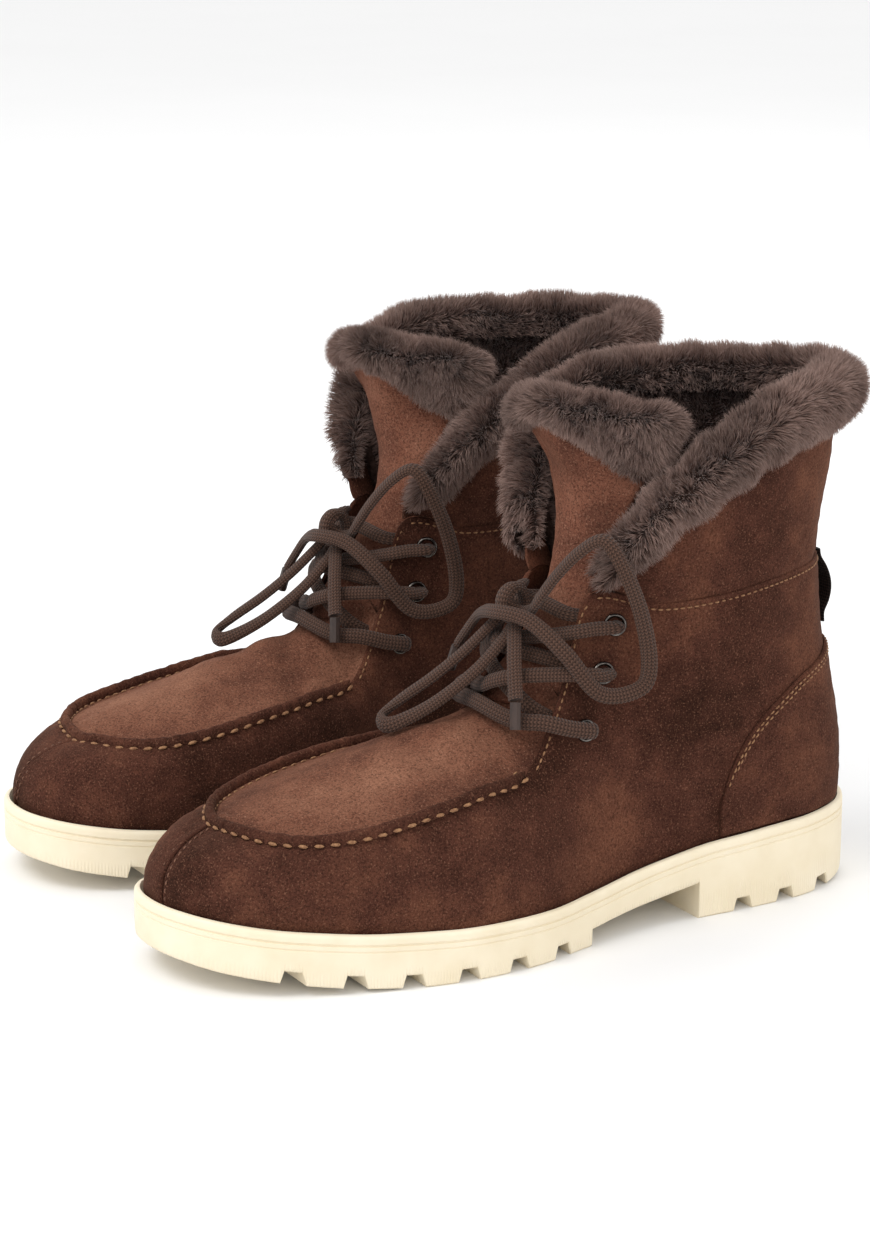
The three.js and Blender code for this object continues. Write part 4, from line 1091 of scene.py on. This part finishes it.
stitchSettings = {
    "chunky": {"pitch": 6.0, "length": 3.7, "width": 1.4, "height": 1.3},
    "apron": {"pitch": 4.2, "length": 2.9, "width": 0.8, "height": 0.7},
    "fine": {"pitch": 3.0, "length": 2.1, "width": 0.75, "height": 0.65},
}


def rowBelowTop(stations, inset):
    # fine stitches along the wall's top edge, the given distance under it
    tenth = np.linalg.norm(wallPoint(stations, 1.0) - wallPoint(stations, 0.9), axis=-1)
    points, outward = rowOn(wallPoint, stations, 1 - inset / tenth * 0.1, 0.15)
    return stitchRow(points, outward, **stitchSettings["fine"])


def heelRow(inset):
    # fine stitches inside the heel panel's edge
    reach = shape["heel"] - panelSettings["heelSeam"] + panelSettings["heelPast"] - inset
    sweep = np.linspace(-1, 1, 240)
    stations = shape["heel"] + reach * np.sign(sweep) * np.sin(np.abs(sweep) * np.pi / 2)
    crest = heelCrest(np.minimum(stations, shape["ring"] - stations)) - inset * 0.09
    keep = crest > 0.07
    points, outward = rowOn(wallPoint, stations[keep], crest[keep], panelSettings["heelLift"] + 0.1)
    return stitchRow(points, outward, **stitchSettings["fine"])


def makeStitches(side):
    # all of the suede stitching of one boot
    s = stitchSettings
    _, middle, _, aside, up = ridgeFrame(400)
    rows = [stitchRow(middle + aside * 2.5 + up * 0.1, unit(aside + 0.5 * up), **s["chunky"], dip=0.5,
                      slant=0.1)]
    inside = np.linspace(0.95, 6.9, 120)
    width = np.linalg.norm(seamLine(inside) - seamLine(shape["ring"] - inside), axis=-1)
    share = apronSettings["stitchInset"] / width
    for across in (share, 1 - share):
        rows.append(stitchRow(*rowOn(apronPoint, inside, across, 0.1), **s["apron"]))
    rows.append(rowBelowTop(np.linspace(9.12, 18.88, 300), 2.6))
    facing = np.linspace(7.12, 8.97, 60)
    rows += [rowBelowTop(stations, 3.0) for stations in (facing, shape["ring"] - facing)]
    rows += [heelRow(inset) for inset in (0.16, 0.33)]
    heights = np.linspace(0.08, 0.93, 60)
    toeRows = [stitchRow(*rowOn(leanedWall, station + 0 * heights, heights, 0.1), **s["fine"])
               for station in (-0.13, 0.13)]
    for name, parts, finish in (("stitching", rows, "thread"), ("toe_stitching", toeRows, "toeThread")):
        points, faces = joinMeshes(parts)
        makeObject(f"{side}_{name}", side, points, faces, materials[finish], f"{side}_boot",
                   flip=True)


rimsOf = {"left": (rimFolded, rimUpright, 1), "right": (rimUpright, rimFolded, -1)}
surfaces = {}
for number, side in enumerate(sides):
    lateralRim, medialRim, foldSide = rimsOf[side]
    collar, tongue = collarSurface(lateralRim, medialRim), tongueSurface(foldSide)
    surfaces[side] = (collar, tongue, foldSide)
    makeQuarter(side, "quarter_lateral", 0, shape["heel"], eyeletPlaces, 3 + number)
    makeQuarter(side, "quarter_medial", shape["heel"], shape["ring"], medialPlaces, 9 + number)
    makeHeelPanel(side, 15 + number)
    makeApron(side, 21 + number)
    makeRidge(side, 27 + number)
    makeCollar(side, collar, 33 + number)
    makeTongue(side, tongue, 39 + number)
    makeStitches(side)
print("suede panels made")

# Eyelets.

eyeletSettings = {"hole": 3.0, "rim": 4.5, "barrel": 3.3, "foot": -2.6, "around": 48}


def makeEyelets(side):
    # six turned rings, set in the wall along its outward direction
    s = eyeletSettings
    # flange rolled over a barrel: half an oval over the suede, then down through the hole
    turn = np.linspace(0, np.pi, 11)
    middle, half = (s["hole"] + s["rim"]) / 2, (s["rim"] - s["hole"]) / 2
    flange = np.column_stack([middle + half * np.cos(turn), 0.35 + 1.0 * np.sin(turn)])
    section = np.concatenate([[[s["barrel"], 0.3], [s["rim"], 0.1]], flange,
                              [[s["hole"], s["foot"]], [s["barrel"], s["foot"]]]])
    angle = np.arange(s["around"]) * 2 * np.pi / s["around"]
    for name, flipped in (("lateral", False), ("medial", True)):
        for index, (station, share) in enumerate(eyeletPlaces):
            station = shape["ring"] - station if flipped else station
            middlePoint = wallPoint(station, share)
            outward = outwardOf(wallPoint, station, share)
            first = unit(np.cross(outward, [0, 0, 1.0]))
            second = np.cross(outward, first)
            spin = np.cos(angle)[:, None] * first + np.sin(angle)[:, None] * second
            points = (middlePoint + spin[:, None] * section[None, :, :1]
                      + outward * section[None, :, 1:])
            faces = gridFaces(len(angle), len(section), wrapRows=True, wrapColumns=True)
            ring = makeObject(f"{side}_eyelet_{name}_{index + 1}_ring", side, points, [faces],
                              materials["gunmetal"], f"{side}_boot", sharp=50, flip=True)
            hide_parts(f"{side}_eyelet_{name}_{index + 1}")


for side in sides:
    makeEyelets(side)
print("eyelets made")

# Pull loop.

loopSettings = {"half": 6.0, "thick": 1.5,
                "rise": [(0.72, 0.5), (0.76, 1.2), (0.8, 3.9), (0.84, 5.4), (0.88, 5.4), (0.92, 3.9),
                         (0.96, 1.2), (0.99, 0.5)]}


def makePullLoop(side):
    # flat strap with rounded edges that stands off the back seam in its middle
    s = loopSettings
    shares, lifts = np.array(s["rise"]).T
    line = wallPoint(shape["heel"], shares)
    line = line + np.array([0, 1.0, 0]) * lifts[:, None]
    line = smoothPath(line, 6)
    ahead = unit(np.gradient(line, axis=0))
    out = np.cross(np.array([1.0, 0, 0]), ahead)
    out = out * np.sign(out[:, 1:2])
    angle = np.arange(28) * 2 * np.pi / 28
    across = np.sign(np.cos(angle)) * np.abs(np.cos(angle)) ** 0.35 * s["half"]
    depth = np.sign(np.sin(angle)) * np.abs(np.sin(angle)) ** 0.8 * s["thick"] / 2
    rings = (line[:, None] + np.array([1.0, 0, 0]) * across[None, :, None]
             + out[:, None] * (depth + s["thick"] / 2)[None, :, None])
    strap = makeObject(f"{side}_pull_strap", side, rings, tubeFaces(*rings.shape[:2]),
                       materials["webbing"], f"{side}_boot")
    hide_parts(f"{side}_pull_loop")


for side in sides:
    makePullLoop(side)
print("pull loops made")

# Shearling: pelt rolls with wool on them.

woolSettings = {
    "cuff": {"fibres": 66000, "width": 0.33, "lock": 20, "tuft": 5, "part": 0.24, "curl": 0.22},
    "inside": {"fibres": 50000, "width": 0.42, "lock": 18, "tuft": 5, "part": 0.3, "curl": 0.26},
    "tongue": {"fibres": 36000, "width": 0.33, "lock": 20, "tuft": 5, "part": 0.24, "curl": 0.22},
}
# A roll's section: foot and swell of the outer leg and how soon it swells, its outermost reach, the
# height of its crest and the length of its inner leg. Its wool: how strongly it is combed down in
# front and up inside, sideways, and apart at the ends; its least length and what the crest adds.
rollSettings = {
    "cuff": {"node": "shearling_cuff", "foot": 1.6, "swell": 4.2, "soon": 1.6, "outer": 5.8,
             "crest": 4.6, "back": 9, "outerRows": 7, "innerRows": 5, "combDown": 0.75, "combUp": 0.2,
             "sideways": 0.2, "fan": 1.3, "wool": 5.0, "woolMore": 1.4},
    "tongue": {"node": "tongue_fur", "foot": 0.8, "swell": 3.6, "soon": 1.8, "outer": 4.6,
               "crest": 4.4, "back": 13, "outerRows": 8, "innerRows": 6, "combDown": 0.7,
               "combUp": 0.1, "sideways": 0, "fan": 1.4, "wool": 5.4, "woolMore": 1.2},
}
cuffSettings = {"first": 9.1, "front": 13.5, "frontShare": 0.5, "seat": 3, "linedPile": 6,
                "linedHalf": 4.6, "linedBlend": 0.5, "fanEnd": 0.3}
tongueFurSettings = {"front": 2.2, "foldedMore": 11, "foldFrom": 0.1, "curve": 1.2, "inner": -6.2,
                     "fanEnd": 0.18}
peltThick = 1.2


def rollProfile(s, front, inner):
    # rows of (away from the face, along the face above the rim): the outer leg swells as a sine, a
    # half oval crosses the rim, and the inner leg runs straight down
    middle, half = (s["outer"] + inner) / 2, (s["outer"] - inner) / 2
    profile = []
    for t in np.linspace(0, 1, s["outerRows"]):
        swell = math.sin(math.pi / 2 * min(t * s["soon"], 1))
        profile.append((s["foot"] + s["swell"] * swell, -front * (1 - t)))
    for t in np.linspace(0.12, 0.88, 7):
        swing = math.pi * t
        profile.append((middle + half * math.cos(swing), s["crest"] * math.sin(swing)))
    for t in np.linspace(0, 1, s["innerRows"]):
        profile.append((inner, -s["back"] * t))
    return profile


def peltRoll(surface, columns, topRow, profile, seed):
    u = np.asarray(columns, float)
    rim = surface(u, topRow)
    rise = unit(rim - surface(u, topRow - 0.03))
    grid = []
    for away, above in profile:
        away, above = np.broadcast_to(away, u.shape), np.broadcast_to(above, u.shape)
        rowLength = np.linalg.norm(rim - surface(u, topRow - 0.1), axis=-1) / 0.1
        row = topRow + np.minimum(above, 0) / rowLength
        outward = outwardOf(surface, u, row)
        grid.append(surface(u, row) + outward * away[:, None] + rise * np.maximum(above, 0)[:, None])
    grid = np.stack(grid, 1)
    # both ends close in a quarter round
    distance = runningLength(rim)
    fromEnd = np.minimum(distance, distance[-1] - distance)
    closing = np.sqrt(np.clip(1 - (1 - np.clip(fromEnd / 5.0, 0, 1)) ** 2, 0.04, 1))
    core = grid.mean(1, keepdims=True) * 0.5 + grid * 0.5
    grid = core + (grid - core) * closing[:, None, None]
    lengthwise = np.gradient(grid, axis=0)
    crosswise = np.gradient(grid, axis=1)
    normals = unit(np.cross(lengthwise, crosswise))
    grid = grid + normals * (0.8 * softNoise(grid, 14, seed))[..., None]
    return grid, normals, crosswise


def makeRoll(side, name, body, surface, topRow, columns, front, inner, fan, seed):
    # a turned-out roll of pelt with its wool, combed down in front and fanned out at both ends
    s = rollSettings[name]
    grid, normals, crosswise = peltRoll(surface, columns, topRow, rollProfile(s, front, inner), seed)
    points, faces = leafMesh(grid, grid - normals * peltThick)
    pelt = makeObject(f"{side}_{name}_pelt", side, points, faces, materials["pelt"], body)
    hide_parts(f"{side}_{s['node']}")
    rows = np.linspace(0, 1, grid.shape[1])[None, :]
    comb = -unit(crosswise) * (s["combDown"] * (1 - rows) - s["combUp"] * rows)[..., None]
    along = unit(np.gradient(grid, axis=0))
    comb = comb + (s["sideways"] + s["fan"] * fan[:, None, None]) * along
    length = np.broadcast_to(s["wool"] + s["woolMore"] * np.sin(np.pi * rows), grid.shape[:2])
    growWool(f"{side}_{name}_wool", side, grid, normals, comb, length, woolSettings[name],
             materials["wool"], body, seed + 100)


def makeCuff(side, surface, seed):
    # the front leg follows the collar's height, shorter where the collar is low
    s = cuffSettings
    last = shape["ring"] - s["first"]
    columns = spread(s["first"], last, 200)
    rowLength = np.linalg.norm(surface(columns, 1.0) - surface(columns, 0.0), axis=-1)
    front = np.minimum(s["front"], s["frontShare"] * rowLength)
    # the inner leg stands behind the collar's lining where there is one
    lined = np.clip((s["linedHalf"] - np.abs(columns - shape["heel"])) / s["linedBlend"], 0, 1)
    inner = -(shape["suede"] + s["seat"] + lined * s["linedPile"])
    fan = (np.clip((columns - last) / s["fanEnd"] + 1, 0, 1)
           - np.clip((s["first"] - columns) / s["fanEnd"] + 1, 0, 1))
    makeRoll(side, "cuff", f"{side}_boot", surface, 1.0, columns, front, inner, fan, seed)


def makeInside(side, surface, seed):
    # the collar's lining, with wool combed upward
    columns = spread(9.6, 18.4, 120)
    rows = spread(0.02, 1.0, 40)
    outer, inner, outward = leafGrid(surface, columns, rows, shape["suede"] + 0.6 + shape["pile"], 0)
    depth = shape["suede"] + 0.5
    points, faces = leafMesh(outer - outward * depth, inner)
    pelt = makeObject(f"{side}_collar_pile", side, points, faces, materials["liningPile"],
                      f"{side}_boot")
    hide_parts(f"{side}_collar_lining")
    flat = inner + outward * 1.0
    rise = unit(np.gradient(flat, axis=1))
    length = np.full(flat.shape[:2], 5.6)
    growWool(f"{side}_collar_wool", side, flat, -outward, rise * 0.35, length, woolSettings["inside"],
             materials["woolInside"], f"{side}_boot", seed + 100)


def makeTongueWool(side, surface, foldSide, seed):
    # the fur hangs lower over the front on the turned-down side
    s = tongueFurSettings
    columns = spread(-1, 1, 90)
    folded = np.clip((foldSide * columns - s["foldFrom"]) / (1 - s["foldFrom"]), 0, 1)
    front = s["front"] + s["foldedMore"] * folded ** s["curve"]
    fan = np.sign(columns) * np.clip((np.abs(columns) - 1) / s["fanEnd"] + 1, 0, 1)
    makeRoll(side, "tongue", f"{side}_tongue_top", surface, 7, columns, front, s["inner"], fan, seed)


for number, side in enumerate(sides):
    collar, tongue, foldSide = surfaces[side]
    makeCuff(side, collar, 51 + number)
    makeInside(side, collar, 61 + number)
    makeTongueWool(side, tongue, foldSide, 71 + number)
print("shearling made")

# Finishes of the pieces that keep their own shape.

finishOf = {
    "shank": "steel", "insole_board": "board", "heel_counter": "board", "toe_puff": "board",
    "footbed": "liningPile", "wall_lining": "liningPile", "apron_lining": "liningPile",
    "aglet_1": "tipFilm", "aglet_2": "tipFilm",
}
for side in sides:
    for node, finish in finishOf.items():
        keeper = bpy.data.objects[f"{side}_{node}"]
        for place in keeper.material_slots:
            place.material = materials[finish]
        if not keeper.material_slots:
            keeper.data.materials.append(materials[finish])

# Floor and light.

floorMesh = bpy.data.meshes.new("floor")
reach = 6.0
floorMesh.from_pydata([(-reach, -reach, 0), (reach, -reach, 0), (reach, reach, 0), (-reach, reach, 0)],
                      [], [(0, 1, 2, 3)])
floor = bpy.data.objects.new("floor", floorMesh)
bpy.context.scene.collection.objects.link(floor)
floorMaterial, floorTree, floorShader = newMaterial("paleFloor", {"Roughness": 0.9,
                                                                  "Specular IOR Level": 0.1})
floorTree.links.new(ramp(floorTree, noiseAt(floorTree, addNode(
    floorTree, "ShaderNodeTexCoord").outputs["Object"], 3), [(0.0, "#efefef"), (1.0, "#f2f2f2")]),
    floorShader.inputs["Base Color"])
floorMesh.materials.append(floorMaterial)

world = bpy.data.worlds.new("studio")
bpy.context.scene.world = world
world.use_nodes = True
world.node_tree.nodes["Background"].inputs[0].default_value = (1, 1, 1, 1)
world.node_tree.nodes["Background"].inputs[1].default_value = 1.04
bpy.context.scene.view_settings.view_transform = "Standard"

lights = {
    "key": {"at": (0.2, -1.4, 2.0), "size": 1.0, "watts": 22},
    "fill": {"at": (2.0, -0.2, 1.0), "size": 1.6, "watts": 5},
    "back": {"at": (-1.2, 1.4, 1.8), "size": 1.2, "watts": 9},
}
for name, light in lights.items():
    lamp = bpy.data.objects.new(name, bpy.data.lights.new(name, "AREA"))
    lamp.data.size = light["size"]
    lamp.data.energy = light["watts"]
    lamp.location = light["at"]
    aim = Vector((0, 0, 0.08)) - Vector(light["at"])
    lamp.rotation_euler = aim.to_track_quat("-Z", "Y").to_euler()
    bpy.context.scene.collection.objects.link(lamp)
print("stage set")
